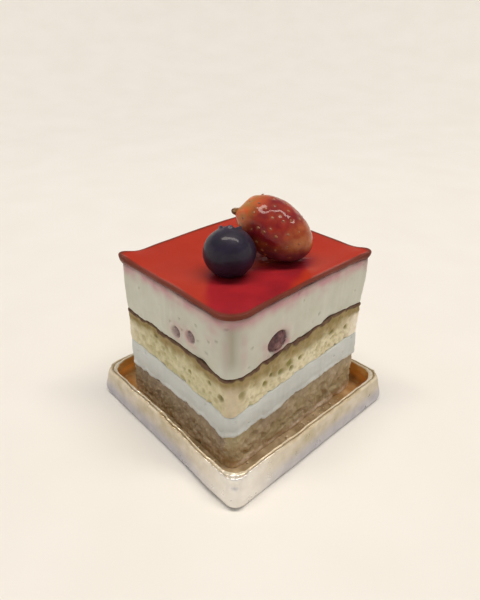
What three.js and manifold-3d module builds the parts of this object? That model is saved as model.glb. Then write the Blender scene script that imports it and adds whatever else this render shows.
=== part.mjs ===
// A square-cut portion of no-bake cheesecake in its gold foil tray, in millimetres, +Z up.
//
// From the bottom: crumb base, lower cream, sponge, upper cream with berries in its sides, and a red
// jelly glaze that carries a blueberry and a glazed strawberry. The origin is under the middle of the
// tray, on the surface that it stands on. The four upright edges of the cake are called after how they
// lie: left (-X, -Y), front (+X, -Y), right (+X, +Y) and back (-X, +Y).

import * as THREE from "three";
import { ImprovedNoise } from "three/addons/math/ImprovedNoise.js";
import { mergeVertices } from "three/addons/utils/BufferGeometryUtils.js";
import Module from "manifold-3d";

const wasm = await Module();
wasm.setup();

// ---------------------------------------------------------------- driving dimensions

const GAP = 0.3; // between two pieces that touch

// The cake seen from above.
const CAKE_WIDTH = 52.3; // along X
const CAKE_DEPTH = 58.1; // along Y, at its foot
const CAKE_CENTRE = { x: -0.4, y: 0.8 };
const CAKE_CORNER = 1.1; // radius of the left, right and back edges
const FRONT_CORNER_LOW = 3; // radius of the front edge at the foot of the cake
const FRONT_CORNER_HIGH = 7; // and at its top, where it is worn round
const CAKE_TOP = 56;
const LEAN = 1; // how far the face towards +Y stands further out at the top than at the foot

// The foil tray.
const TRAY_SIDE = 70; // across the rim
const TRAY_HEIGHT = 10.6;
const TRAY_FLOOR = 2; // top of the floor
const TRAY_CORNER = 4; // outer radius
const TRAY_INNER_CORNER = 6.3; // where the hem is folded broader
const FOIL_BULGE = 1.6; // how far the wall swells out below the rim
const FOOT_HEIGHT = 0.5; // of the fold at the foot of the wall
const CREASE = { before: 0.25, at: 0.6, after: 1, depth: 0.5 }; // along the rim, from its outer edge inwards
const HEM_DEPTH = 3.2; // the folded edge inside the rim
const HEM_WIDTH = 1.4;
const HEM_ROLL = 0.4; // thickness of its rolled lower edge
const COVE = 1.2; // from the floor up to the start of the upright wall inside
const RIM_FLARE = { x: 24, y: -35, width: 8, push: 0.9, drop: 0.7 }; // where the rim was pressed out
const RIM_WAVE = { height: 0.9, grain: 13 }; // how far the rim rises and sinks
const CRINKLE = { depth: 0.3, grain: 3.4, tall: 5 }; // small crinkles of the upper wall
const SWAY = { depth: 0.4, grain: 17 }; // long bends of the wall

// The upper faces of the layers, and of the floor under them. Each has its height at the four upright
// edges of the cake, how far its edges along X and along Y bow up between those, how far its middle lies
// below its edges, how uneven it is, and single swells (or drips, where the rise is negative).
const BASE_BOTTOM = flatFace(TRAY_FLOOR + GAP / 2);
const BASE_TOP = {
  left: 13.0,
  front: 14.4,
  right: 17.8,
  back: 15.6,
  bowX: 1.4,
  bowY: 0.5,
  dish: 1.5,
  ragged: 0.9,
  grain: 4,
  swells: [
    { x: 21, y: -28.2, width: 3, rise: -2 },
    { x: 25.8, y: -9.6, width: 2.6, rise: -2.4 },
    { x: -26.5, y: 6, width: 3, rise: -1.8 },
    { x: -8, y: 29.8, width: 3, rise: -2 },
  ],
};
const LOWER_CREAM_TOP = {
  left: 24.0,
  front: 22.0,
  right: 26.8,
  back: 25.2,
  bowX: 0.4,
  bowY: 0.9,
  dish: 1,
  ragged: 0.7,
  grain: 9,
  swells: [],
};
const SPONGE_TOP = {
  left: 36.3,
  front: 35.2,
  right: 38.6,
  back: 37.4,
  bowX: 1,
  bowY: 1.3,
  dish: 1.4,
  ragged: 0.8,
  grain: 7,
  swells: [{ x: 25.8, y: 14, width: 5, rise: 0.9 }],
};
const UPPER_CREAM_TOP = {
  left: 53.3,
  front: 54.3,
  right: 55.0,
  back: 54.2,
  bowX: 0.7,
  bowY: 1.1,
  dish: 2.4,
  ragged: 0.35,
  grain: 8,
  swells: [],
};
const JELLY_TOP = {
  left: 54.9,
  front: 55.8,
  right: 56.6,
  back: 56.0,
  bowX: 0.5,
  bowY: 0.9,
  dish: 1.1,
  ragged: 0.25,
  grain: 11,
  swells: [
    { x: -26, y: -27.5, width: 3.6, rise: 1.9 },
    { x: 25, y: 30, width: 3.6, rise: 1.3 },
    { x: -26, y: 30, width: 3, rise: 0.8 },
  ],
};
const EAR_LEAN = 1.3; // how far the raised corners of the jelly lean outwards
const FURROW = { depth: 0.8, width: 1.6, fadesIn: 0.25 }; // down the front edge of the upper cream

// How the sides of the layers stand out or lie back, and the grain of what makes them uneven.
const CRUMB_SIDE = { lumps: 0.9, grain: 3.7, spread: 0.4, back: 0.1 };
const CREAM_SIDE = { waves: 0.35, long: 11, tall: 6, swell: 0.3, proud: 0.05 };
const SPONGE_SIDE = { pores: 1.3, grain: 2.9, threshold: 0.05, proud: 0.05 };
const JELLY_SIDE = { waves: 0.2, grain: 8, proud: 0.2, shoulder: 0.8, shoulderStart: 0.45 };

// The fruit on top.
const BLUEBERRY = {
  radius: 7.75,
  x: 4.6,
  y: -9.9,
  sunk: 0.8,
  flatness: 0.96,
  crownAngle: 21, // degrees from the middle of the crown out to its lobes
  lobes: 5,
  lobeRise: 0.075, // this and the next two are fractions of the radius
  crownRise: 0.035,
  pitDepth: 0.13,
};
const STRAWBERRY = {
  radius: 8.8,
  halfLength: 13,
  x: 6,
  y: 7.2,
  z: 64.8,
  heading: 197, // degrees in plan, the way its leaf end points
  tilt: 22, // degrees that its leaf end is lifted
};
const STRAWBERRY_LUMPS = { large: 0.5, small: 0.2, leafDip: 1.1, shoulders: 0.05 };
const SEED_COUNT = 40;
const SEED = { width: 0.9, length: 1.3, thickness: 0.8 };
const LEAF_STUB = { width: 2.4, length: 4.2, x: -0.2, y: 4, z: 12.1 }; // in the strawberry's own frame

// The berries that show in the sides of the upper cream: where they meet the side, their size, the way
// the side faces, and how far they stand proud of it.
const SIDE_BERRIES = [
  { name: "side_berry", x: 25.75, y: -10.6, z: 41.9, width: 9.2, height: 7.6, facing: "x", proud: 1.1 },
  { name: "face_berry_left", x: 2, y: -28.25, z: 41.3, width: 3.6, height: 3.8, facing: "-y", proud: 0.5 },
  { name: "face_berry_right", x: 9.1, y: -28.25, z: 43, width: 4, height: 4.2, facing: "-y", proud: 0.5 },
];
const BERRY_FLATNESS = 3; // 2 is a ball, and more flattens it where the knife passed
const BERRY_SHRIVEL = 0.06; // how uneven a berry is, as a fraction of its size

// How finely the outlines are divided.
const CAKE_STEPS = { side: 16, front: 6, right: 3, back: 3, left: 3 };
const TRAY_STEPS = { side: 14, front: 5, right: 5, back: 5, left: 5 };

// ---------------------------------------------------------------- shared geometry

const noise = new ImprovedNoise();
const { clamp, degToRad, lerp, smoothstep } = THREE.MathUtils;

// Rises from 0 to 1 halfway between two edges, and falls to 0 again.
function hump(fraction) {
  return 4 * fraction * (1 - fraction);
}

// 1 at the middle of a spot of the plan, falling smoothly to 0 about two of its widths away.
function nearness(x, y, spot) {
  const distance = Math.hypot(x - spot.x, y - spot.y) / spot.width;
  return Math.exp(-distance * distance);
}

function flatFace(height) {
  return { left: height, front: height, right: height, back: height, flat: true };
}

// How far across the cake a point of the plan lies, as fractions of its width and depth.
function acrossCake(x, y) {
  const u = clamp((x - CAKE_CENTRE.x) / CAKE_WIDTH + 0.5, 0, 1);
  const v = clamp((y - CAKE_CENTRE.y) / CAKE_DEPTH + 0.5, 0, 1);
  return { u, v };
}

// Height of a layer's upper face over a point of the plan.
function heightOf(face, x, y) {
  if (face.flat) {
    return face.left;
  }
  const { u, v } = acrossCake(x, y);
  const plane = lerp(lerp(face.left, face.front, u), lerp(face.back, face.right, u), v);
  const bow = face.bowX * hump(u) + face.bowY * hump(v) - (face.bowX + face.bowY) * hump(u) * hump(v);
  const dish = face.dish * hump(u) * hump(v);
  const uneven = face.ragged * noise.noise(x / face.grain, y / face.grain, face.left);
  let height = plane + bow - dish + uneven;
  for (const swell of face.swells) {
    height += swell.rise * nearness(x, y, swell);
  }
  return height;
}

// Points and outward directions round a rectangle with rounded corners, anticlockwise from above. Two
// rectangles with the same steps have the same number of points, so they join point to point.
function roundedRectangle(width, depth, radii, stepCounts) {
  const corners = [
    { name: "front", x: 1, y: -1 },
    { name: "right", x: 1, y: 1 },
    { name: "back", x: -1, y: 1 },
    { name: "left", x: -1, y: -1 },
  ];
  const arcs = corners.map(({ name, x, y }, index) => {
    const radius = radii[name];
    const start = (index - 1) * 0.5 * Math.PI;
    const centreX = x * (width / 2 - radius);
    const centreY = y * (depth / 2 - radius);
    return new THREE.EllipseCurve(centreX, centreY, radius, radius, start, start + 0.5 * Math.PI);
  });
  const outline = [];
  arcs.forEach((arc, index) => {
    const next = arcs[(index + 1) % arcs.length];
    const side = new THREE.LineCurve(arc.getPoint(1), next.getPoint(0));
    const stretches = [
      { curve: arc, steps: stepCounts[corners[index].name] },
      { curve: side, steps: stepCounts.side },
    ];
    for (const { curve, steps } of stretches) {
      for (let step = 0; step < steps; step++) {
        const point = curve.getPoint(step / steps);
        const along = curve.getTangent(step / steps);
        outline.push({ x: point.x, y: point.y, outX: along.y, outY: -along.x });
      }
    }
  });
  return outline;
}

// Collects rings of points and the triangles between them into one closed skin.
class Skin {
  constructor() {
    this.positions = [];
    this.triangles = [];
  }

  addPoint(x, y, z) {
    this.positions.push(x, y, z);
    return this.positions.length / 3 - 1;
  }

  addRing(points) {
    return points.map((point) => this.addPoint(point.x, point.y, point.z));
  }

  // Joins two rings. The first one lies below the second, or inside it on a face that looks down.
  join(first, second) {
    first.forEach((corner, index) => {
      const after = (index + 1) % first.length;
      this.triangles.push(corner, first[after], second[index]);
      this.triangles.push(first[after], second[after], second[index]);
    });
  }

  // Closes a face with rings that shrink to a middle point: upwards looking, or downwards.
  close(rings, middle, looksUp) {
    const winding = (a, b, c) => this.triangles.push(...(looksUp ? [a, b, c] : [a, c, b]));
    rings.slice(1).forEach((inner, index) => {
      const outer = rings[index];
      outer.forEach((corner, place) => {
        const after = (place + 1) % outer.length;
        winding(corner, outer[after], inner[place]);
        winding(outer[after], inner[after], inner[place]);
      });
    });
    const last = rings.at(-1);
    last.forEach((corner, place) => winding(corner, last[(place + 1) % last.length], middle));
  }

  toGeometry() {
    const geometry = new THREE.BufferGeometry();
    geometry.setAttribute("position", new THREE.Float32BufferAttribute(this.positions, 3));
    geometry.setIndex(this.triangles);
    return geometry;
  }
}

// A geometry as a solid for cutting and joining, and back.
function toSolid(geometry) {
  const bare = geometry.clone();
  bare.deleteAttribute("normal");
  bare.deleteAttribute("uv");
  const merged = mergeVertices(bare, 1e-4);
  const vertProperties = merged.getAttribute("position").array;
  const triVerts = new Uint32Array(merged.index.array);
  return new wasm.Manifold(new wasm.Mesh({ numProp: 3, vertProperties, triVerts }));
}

function fromSolid(solid) {
  const { vertProperties, triVerts } = solid.getMesh();
  const geometry = new THREE.BufferGeometry();
  geometry.setAttribute("position", new THREE.Float32BufferAttribute(vertProperties, 3));
  geometry.setIndex(new THREE.Uint32BufferAttribute(triVerts, 1));
  return geometry;
}

// Moves every point of a geometry to where a function of its place puts it.
function reshape(geometry, place) {
  const position = geometry.getAttribute("position");
  const point = new THREE.Vector3();
  for (let index = 0; index < position.count; index++) {
    place(point.fromBufferAttribute(position, index));
    position.setXYZ(index, point.x, point.y, point.z);
  }
  return geometry;
}

// A ball of radius 1 with its poles on Z.
function unitBall(slices, stacks) {
  return new THREE.SphereGeometry(1, slices, stacks).rotateX(Math.PI / 2);
}

function makeMesh(name, geometry, colour, roughness, metalness = 0) {
  geometry.computeVertexNormals();
  const material = new THREE.MeshStandardMaterial({ color: colour, roughness, metalness });
  const mesh = new THREE.Mesh(geometry, material);
  mesh.name = name;
  return mesh;
}

// ---------------------------------------------------------------- layers of the cake

// The outline of the cake where a face meets its sides, each point with the face's height there.
function rimOf(face, lift) {
  const radii = {
    left: CAKE_CORNER,
    right: CAKE_CORNER,
    back: CAKE_CORNER,
    front: lerp(FRONT_CORNER_LOW, FRONT_CORNER_HIGH, smoothstep(face.front, 0.3 * CAKE_TOP, CAKE_TOP)),
  };
  return roundedRectangle(CAKE_WIDTH, CAKE_DEPTH, radii, CAKE_STEPS).map((point) => {
    const x = point.x + CAKE_CENTRE.x;
    const y = point.y + CAKE_CENTRE.y;
    const height = heightOf(face, x, y);
    const leanOut = (LEAN * height * acrossCake(x, y).v) / CAKE_TOP;
    return { ...point, x, y: y + leanOut, z: height + lift };
  });
}

// The rings of a face inside its rim, each the rim shrunk towards the middle of the cake.
function innerRings(face, rim, shrinks, lift) {
  return shrinks.map((shrink) =>
    rim.map((point) => {
      const x = lerp(CAKE_CENTRE.x, point.x, shrink);
      const y = lerp(CAKE_CENTRE.y, point.y, shrink);
      return { x, y, z: heightOf(face, x, y) + lift };
    }),
  );
}

// One layer: a lower face, an upper face, and sides in between that swell and dent by the relief, which
// is the outward push at a point of the side and at a fraction of the layer's height.
function layerGeometry({ lower, upper, fractions, relief, shrinks = [0.86] }) {
  const foot = rimOf(lower, GAP / 2);
  const head = rimOf(upper, -GAP / 2);
  const skin = new Skin();
  const sides = fractions.map((fraction) =>
    skin.addRing(
      foot.map((start, index) => {
        const end = head[index];
        const x = lerp(start.x, end.x, fraction);
        const y = lerp(start.y, end.y, fraction);
        const z = lerp(start.z, end.z, fraction);
        const push = relief({ x, y, z }, fraction);
        return { x: x + push * start.outX, y: y + push * start.outY, z };
      }),
    ),
  );
  sides.slice(1).forEach((ring, index) => skin.join(sides[index], ring));

  const faces = [
    { face: lower, rim: foot, edge: sides[0], lift: GAP / 2, looksUp: false, insets: [0.86] },
    { face: upper, rim: head, edge: sides.at(-1), lift: -GAP / 2, looksUp: true, insets: shrinks },
  ];
  for (const { face, rim, edge, lift, looksUp, insets } of faces) {
    const inner = face.flat ? [] : innerRings(face, rim, insets, lift);
    const { x, y } = CAKE_CENTRE;
    const middle = skin.addPoint(x, y, heightOf(face, x, y) + lift);
    skin.close([edge, ...inner.map((ring) => skin.addRing(ring))], middle, looksUp);
  }
  return skin.toGeometry();
}

// Pressed biscuit and sponge crumb: coarse lumps, and a foot that spreads a little.
function crumbRelief({ x, y, z }, fraction) {
  const { lumps, grain, spread, back } = CRUMB_SIDE;
  return lumps * noise.noise(x / grain, y / grain, z / grain) + spread * (1 - fraction) - back;
}

// Whipped cream cheese, smoothed by the knife: a soft swell and long shallow waves.
function creamRelief({ x, y, z }, fraction) {
  const { waves, long, tall, swell, proud } = CREAM_SIDE;
  return waves * noise.noise(x / long, y / long, z / tall) + swell * hump(fraction) + proud;
}

// Open sponge crumb: pores pitted into a cut face that has dried back behind the cream.
function spongeRelief({ x, y, z }) {
  const { pores, grain, threshold, proud } = SPONGE_SIDE;
  return proud - pores * Math.max(0, noise.noise(x / grain, y / grain, z / grain) - threshold);
}

// The upper cream also has an upright furrow, left by the cutter, down its front edge.
function upperCreamRelief(point, fraction) {
  const wornAway = (1 - Math.SQRT1_2) * FRONT_CORNER_HIGH; // from the square corner to its arc
  const x = CAKE_CENTRE.x + CAKE_WIDTH / 2 - wornAway;
  const y = CAKE_CENTRE.y - CAKE_DEPTH / 2 + wornAway;
  const furrow = FURROW.depth * nearness(point.x, point.y, { x, y, width: FURROW.width });
  return creamRelief(point, fraction) - furrow * smoothstep(fraction, 0, FURROW.fadesIn);
}

// The jelly has set with a rounded shoulder, and its raised corners lean outwards.
function jellyRelief({ x, y }, fraction) {
  const { waves, grain, proud, shoulder, shoulderStart } = JELLY_SIDE;
  const drawnIn = shoulder * Math.max(0, fraction - shoulderStart);
  const ears = JELLY_TOP.swells.map((ear) => nearness(x, y, ear));
  const lean = EAR_LEAN * fraction * Math.max(...ears);
  return proud + waves * noise.noise(x / grain, y / grain, 3.3) - drawnIn + lean;
}

function makeLayers() {
  const evenly = (steps) => Array.from({ length: steps + 1 }, (_, step) => step / steps);
  return {
    base: layerGeometry({
      lower: BASE_BOTTOM,
      upper: BASE_TOP,
      fractions: evenly(4),
      relief: crumbRelief,
    }),
    lowerCream: layerGeometry({
      lower: BASE_TOP,
      upper: LOWER_CREAM_TOP,
      fractions: evenly(3),
      relief: creamRelief,
    }),
    sponge: layerGeometry({
      lower: LOWER_CREAM_TOP,
      upper: SPONGE_TOP,
      fractions: evenly(4),
      relief: spongeRelief,
    }),
    upperCream: layerGeometry({
      lower: SPONGE_TOP,
      upper: UPPER_CREAM_TOP,
      fractions: evenly(4),
      relief: upperCreamRelief,
    }),
    jelly: layerGeometry({
      lower: UPPER_CREAM_TOP,
      upper: JELLY_TOP,
      fractions: [0, JELLY_SIDE.shoulderStart, 0.8, 1],
      relief: jellyRelief,
      shrinks: [0.96, 0.88, 0.72, 0.45],
    }),
  };
}

// ---------------------------------------------------------------- fruit

// A blueberry with its crown up: a ball with a shallow pit inside a ring of blunt lobes.
function blueberryGeometry({ radius, flatness, crownAngle, lobes, lobeRise, crownRise, pitDepth }) {
  const crown = degToRad(crownAngle);
  return reshape(unitBall(30, 18), (point) => {
    const around = Math.atan2(point.y, point.x);
    const evenAngle = Math.acos(clamp(point.z, -1, 1));
    const angle = evenAngle * (0.62 + 0.38 * (evenAngle / Math.PI)); // closer rings near the crown
    const lobe = 0.5 + 0.5 * Math.cos(lobes * around);
    const fromCrown = (angle - crown) / degToRad(7);
    const rise = (crownRise + lobeRise * lobe) * Math.exp(-fromCrown * fromCrown);
    const pit = pitDepth * (1 - smoothstep(angle, 0.5 * crown, crown));
    const uneven = 0.012 * noise.noise(2 * point.x, 2 * point.y, 2 * point.z);
    const reach = radius * (1 + rise - pit + uneven);
    point.set(
      reach * Math.sin(angle) * Math.cos(around),
      reach * Math.sin(angle) * Math.sin(around),
      reach * Math.cos(angle) * flatness,
    );
  });
}

// The skin of the strawberry in a direction from its middle; its leaf end is at +Z.
function placeOnStrawberry(direction) {
  const { radius, halfLength } = STRAWBERRY;
  const { large, small, leafDip, shoulders } = STRAWBERRY_LUMPS;
  const { x, y, z } = direction;
  const girth = radius * (1 + shoulders * z);
  const lumps = large * noise.noise(2.3 * x, 2.3 * y, 2.3 * z + 5) + small * noise.noise(6 * x, 6 * y, 6 * z);
  const dip = leafDip * smoothstep(z, 0.88, 1);
  direction.set(x * (girth + lumps), y * (girth + lumps), z * (halfLength + lumps) - dip);
  return direction;
}

// A strawberry with its seeds, and the dried stub of a leaf at its upper end.
function strawberryGeometry() {
  let solid = toSolid(reshape(unitBall(28, 20), placeOnStrawberry));
  const up = new THREE.Vector3(0, 0, 1);
  const goldenAngle = Math.PI * (3 - Math.sqrt(5));
  for (let index = 0; index < SEED_COUNT; index++) {
    const z = lerp(0.86, -0.9, (index + 0.5) / SEED_COUNT);
    const ring = Math.sqrt(1 - z * z);
    const angle = index * goldenAngle;
    const direction = new THREE.Vector3(ring * Math.cos(angle), ring * Math.sin(angle), z);
    const outward = direction.clone().divide({ x: 1, y: 1, z: 1.6 }).normalize();
    const seed = new THREE.OctahedronGeometry(0.5).scale(SEED.width, SEED.length, SEED.thickness);
    const turn = new THREE.Quaternion().setFromUnitVectors(up, outward);
    const spot = placeOnStrawberry(direction);
    seed.applyMatrix4(new THREE.Matrix4().compose(spot, turn, new THREE.Vector3(1, 1, 1)));
    solid = solid.add(toSolid(seed));
  }
  const stub = unitBall(10, 8).scale(LEAF_STUB.width / 2, LEAF_STUB.width / 2, LEAF_STUB.length / 2);
  stub.rotateX(-0.55).translate(LEAF_STUB.x, LEAF_STUB.y, LEAF_STUB.z);
  return fromSolid(solid.add(toSolid(stub)));
}

// A berry set in a side of the cream, flattened where the knife passed it. It faces +X.
function setBerryGeometry({ width, height }) {
  const stacks = Math.round(8 + width / 2);
  return reshape(unitBall(16, stacks), (point) => {
    const across = Math.hypot(point.y, point.z);
    const drum = (Math.abs(point.x) ** BERRY_FLATNESS + across ** BERRY_FLATNESS) ** (1 / BERRY_FLATNESS);
    const uneven = noise.noise(2.5 * point.x, 2.5 * point.y, 2.5 * point.z + width);
    const shrivel = 1 + BERRY_SHRIVEL * uneven;
    point.multiplyScalar(shrivel / drum);
    point.multiply({ x: height / 2, y: width / 2, z: height / 2 });
  });
}

// Cuts the room that set-in pieces take, with the gap all round, out of a geometry.
function withPockets(geometry, pieces) {
  let solid = toSolid(geometry);
  for (const piece of pieces) {
    piece.updateMatrix();
    const reach = new THREE.Box3().setFromBufferAttribute(piece.geometry.getAttribute("position"));
    const size = reach.getSize(new THREE.Vector3());
    const grown = piece.geometry.clone().scale(
      1 + (2 * GAP) / size.x,
      1 + (2 * GAP) / size.y,
      1 + (2 * GAP) / size.z,
    );
    solid = solid.subtract(toSolid(grown.applyMatrix4(piece.matrix)));
  }
  return fromSolid(solid);
}

function makeTopFruit() {
  const blueberry = makeMesh("blueberry", blueberryGeometry(BLUEBERRY), 0x33303a, 0.35);
  const seat = heightOf(JELLY_TOP, BLUEBERRY.x, BLUEBERRY.y);
  blueberry.position.set(BLUEBERRY.x, BLUEBERRY.y, seat - BLUEBERRY.sunk + BLUEBERRY.radius);
  blueberry.rotation.set(-0.35, -0.3, 0.4); // its crown leans towards the back

  const strawberry = makeMesh("strawberry", strawberryGeometry(), 0xa33a2a, 0.2);
  strawberry.position.set(STRAWBERRY.x, STRAWBERRY.y, STRAWBERRY.z);
  strawberry.rotation.order = "ZYX";
  strawberry.rotation.set(0, degToRad(90 - STRAWBERRY.tilt), degToRad(STRAWBERRY.heading));
  return { blueberry, strawberry };
}

function makeSetBerries() {
  const facings = { "x": [1, 0], "-y": [0, -1] };
  return SIDE_BERRIES.map((berry) => {
    const mesh = makeMesh(berry.name, setBerryGeometry(berry), 0x5c4048, 0.4);
    const [outX, outY] = facings[berry.facing];
    const depth = berry.height / 2 - berry.proud;
    mesh.position.set(berry.x - depth * outX, berry.y - depth * outY, berry.z);
    mesh.rotation.z = Math.atan2(outY, outX);
    return mesh;
  });
}

// ---------------------------------------------------------------- foil tray

// How far the thin foil is pushed out of its true line at a point of its wall: most on the rim.
function foilDent({ x, y }, height) {
  const crinkle = noise.noise(x / CRINKLE.grain, y / CRINKLE.grain, height / CRINKLE.tall);
  const sway = noise.noise(x / SWAY.grain, y / SWAY.grain, 9.1);
  const flare = RIM_FLARE.push * nearness(x, y, RIM_FLARE);
  return CRINKLE.depth * crinkle * smoothstep(height, 1, 6) + SWAY.depth * sway + flare;
}

// The tray: a folded sheet taken round a rounded square, from the middle of its underside out over the
// foot, up the swelling wall, over the creased rim, down the hem and across the floor.
function trayGeometry() {
  const rim = TRAY_SIDE / 2;
  const top = TRAY_HEIGHT;
  const inside = rim - HEM_WIDTH;
  const section = [
    { reach: rim, height: 0, corner: TRAY_CORNER },
    { reach: rim + 0.8 * FOIL_BULGE, height: FOOT_HEIGHT, corner: TRAY_CORNER },
    { reach: rim + FOIL_BULGE, height: 0.27 * top, corner: TRAY_CORNER },
    { reach: rim + 0.65 * FOIL_BULGE, height: 0.6 * top, corner: TRAY_CORNER },
    { reach: rim + 0.2 * FOIL_BULGE, height: 0.9 * top, corner: TRAY_CORNER },
    { reach: rim - CREASE.before, height: top, corner: TRAY_CORNER },
    { reach: rim - CREASE.at, height: top - CREASE.depth, corner: TRAY_CORNER },
    { reach: rim - CREASE.after, height: top - 0.05, corner: TRAY_CORNER },
    { reach: inside, height: top - 0.35, corner: TRAY_INNER_CORNER },
    { reach: inside - 0.1, height: top - HEM_DEPTH, corner: TRAY_INNER_CORNER },
    { reach: inside + HEM_ROLL, height: top - HEM_DEPTH - HEM_ROLL, corner: TRAY_INNER_CORNER },
    { reach: inside + COVE, height: TRAY_FLOOR + COVE, corner: TRAY_CORNER },
    { reach: inside + 0.5 * COVE, height: TRAY_FLOOR, corner: TRAY_CORNER },
  ];
  const skin = new Skin();
  const rings = section.map(({ reach, height, corner }) => {
    const radii = { left: corner, front: corner, right: corner, back: corner };
    const raised = smoothstep(height, TRAY_FLOOR, top);
    const ring = roundedRectangle(2 * reach, 2 * reach, radii, TRAY_STEPS).map((point) => {
      const push = raised > 0 ? foilDent(point, height) : 0;
      const drop = RIM_FLARE.drop * nearness(point.x, point.y, RIM_FLARE);
      const wave = RIM_WAVE.height * noise.noise(point.x / RIM_WAVE.grain, point.y / RIM_WAVE.grain, 4.2);
      return {
        x: point.x + push * point.outX,
        y: point.y + push * point.outY,
        z: height + raised * (wave - drop),
      };
    });
    return skin.addRing(ring);
  });
  rings.slice(1).forEach((ring, index) => skin.join(rings[index], ring));
  skin.close([rings[0]], skin.addPoint(0, 0, 0), false);
  skin.close([rings.at(-1)], skin.addPoint(0, 0, TRAY_FLOOR), true);
  return skin.toGeometry();
}

// ---------------------------------------------------------------- assembly

const { blueberry, strawberry } = makeTopFruit();
const setBerries = makeSetBerries();
const layers = makeLayers();

const cake = new THREE.Group();
cake.add(
  makeMesh("base_layer", layers.base, 0x7f6b51, 0.95),
  makeMesh("lower_cream", layers.lowerCream, 0xb9b8ae, 0.6),
  makeMesh("sponge_layer", layers.sponge, 0xb0a57e, 0.9),
  makeMesh("upper_cream", withPockets(layers.upperCream, setBerries), 0xbab4a6, 0.6),
  makeMesh("jelly_glaze", withPockets(layers.jelly, [blueberry, strawberry]), 0xa52b2a, 0.15),
  ...setBerries,
  blueberry,
  strawberry,
);

const group = new THREE.Group();
group.add(makeMesh("foil_tray", trayGeometry(), 0xc4a877, 0.3, 0.9), cake);

export default group;
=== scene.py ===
# A square-cut portion of no-bake cheesecake in its gold foil tray. Lengths are in millimetres and turned
# to metres where a mesh is made. The upright edges of the cake are called after how they lie:
# left (-X, -Y), front (+X, -Y), right (+X, +Y) and back (-X, +Y).

import math

import bpy
import numpy as np
from mathutils import Euler, Matrix, Vector, noise
from mathutils.bvhtree import BVHTree


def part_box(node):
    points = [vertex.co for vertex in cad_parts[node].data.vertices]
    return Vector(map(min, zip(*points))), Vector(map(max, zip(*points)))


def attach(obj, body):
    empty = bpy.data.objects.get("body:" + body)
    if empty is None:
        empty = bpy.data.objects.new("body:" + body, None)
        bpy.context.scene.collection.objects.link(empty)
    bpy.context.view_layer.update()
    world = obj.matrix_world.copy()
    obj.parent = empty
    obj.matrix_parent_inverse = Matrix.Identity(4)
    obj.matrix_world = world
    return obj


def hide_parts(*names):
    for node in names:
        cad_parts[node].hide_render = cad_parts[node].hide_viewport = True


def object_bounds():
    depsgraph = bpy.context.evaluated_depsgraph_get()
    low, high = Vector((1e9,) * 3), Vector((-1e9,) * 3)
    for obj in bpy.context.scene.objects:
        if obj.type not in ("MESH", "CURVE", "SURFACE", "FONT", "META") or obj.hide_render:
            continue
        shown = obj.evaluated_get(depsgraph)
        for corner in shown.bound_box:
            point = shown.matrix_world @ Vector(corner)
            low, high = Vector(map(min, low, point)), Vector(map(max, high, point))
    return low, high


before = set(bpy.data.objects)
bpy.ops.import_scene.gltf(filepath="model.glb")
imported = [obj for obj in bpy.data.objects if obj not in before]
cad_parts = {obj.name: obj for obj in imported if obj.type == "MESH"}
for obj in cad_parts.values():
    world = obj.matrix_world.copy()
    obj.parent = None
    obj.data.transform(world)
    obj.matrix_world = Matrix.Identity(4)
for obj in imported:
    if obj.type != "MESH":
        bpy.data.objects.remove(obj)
cad_low, cad_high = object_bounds()

# ------------------------------------------------------------------ foil tray
# A cake tray of thin aluminium foil, lacquered gold and pressed in a die. Its wall swells out below a
# rim that is creased over and hemmed inside. Hands have crinkled it, most of all round the front corner.

MM = 0.001
RIGHT_ANGLE = math.pi / 2

TRAY_RIM = 35.0  # from the middle of the tray to its rim
TRAY_TOP = 10.6
TRAY_FLOOR = 2.0
TRAY_CORNER = 4.0  # radius
TRAY_STEPS = {"side": 176, "corners": (26, 20, 20, 20)}  # of the mesh, from the front corner on
TRAY_RING_GAP = 0.4  # between the rings of the mesh, along the folded sheet
CREASE_REACH = TRAY_RIM - 0.62  # the sharp fold that runs round along the rim
CREASE_DEPTH = 0.9
HEM_HIGHLIGHT_REACH = TRAY_RIM - 1.15  # the hem inside the fold, with a painted highlight along it
INSIDE_REACH = TRAY_RIM - 1.2  # where the sheet turns inwards, past the lip
WALL_SPOTS = ((3.0, 1.58), (9.4, 0.35))  # heights where its dents are measured, how far past the rim
HANDLED_SPOTS = ((26, -33, 15), (0, -35, 24))  # where the foil is crinkled most, and how far round it
PALE_REFLECTION_CORNER = (35, -33)  # painted paler here: a painted reflection at the front corner
PALE_REFLECTION_WIDTH = 14
CORNER_DENT = (34.6, -34.8, 8.2)  # a thumb's dent in the front corner
DENT_SIZE = (2.4, 2.4, 0.9)
DENT_DEPTH = 0.7
ORANGE_FLOOR_CORNERS = ((-33, -33), (33, 33))  # of the floor, which is browner and matt everywhere else
ORANGE_FLOOR_WIDTH = 9
PLEATS = 4  # gathers in the foil round each corner
PLEAT_DEPTH = 0.1
CRUMPLE_DEPTH, CRUMPLE_SIZE = 0.2, 4.3
FOLD_DEPTH, FOLD_SIZE = 0.18, (3.2, 3.2, 5.6)
CRINKLE_DEPTH, CRINKLE_SIZE = 0.3, (1.5, 1.5, 5.0)
RAY_START = 6.0  # how far outside a side the rays that look for it start
RAY_HEIGHT = 90.0  # above or below everything, where the upright rays start

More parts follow.
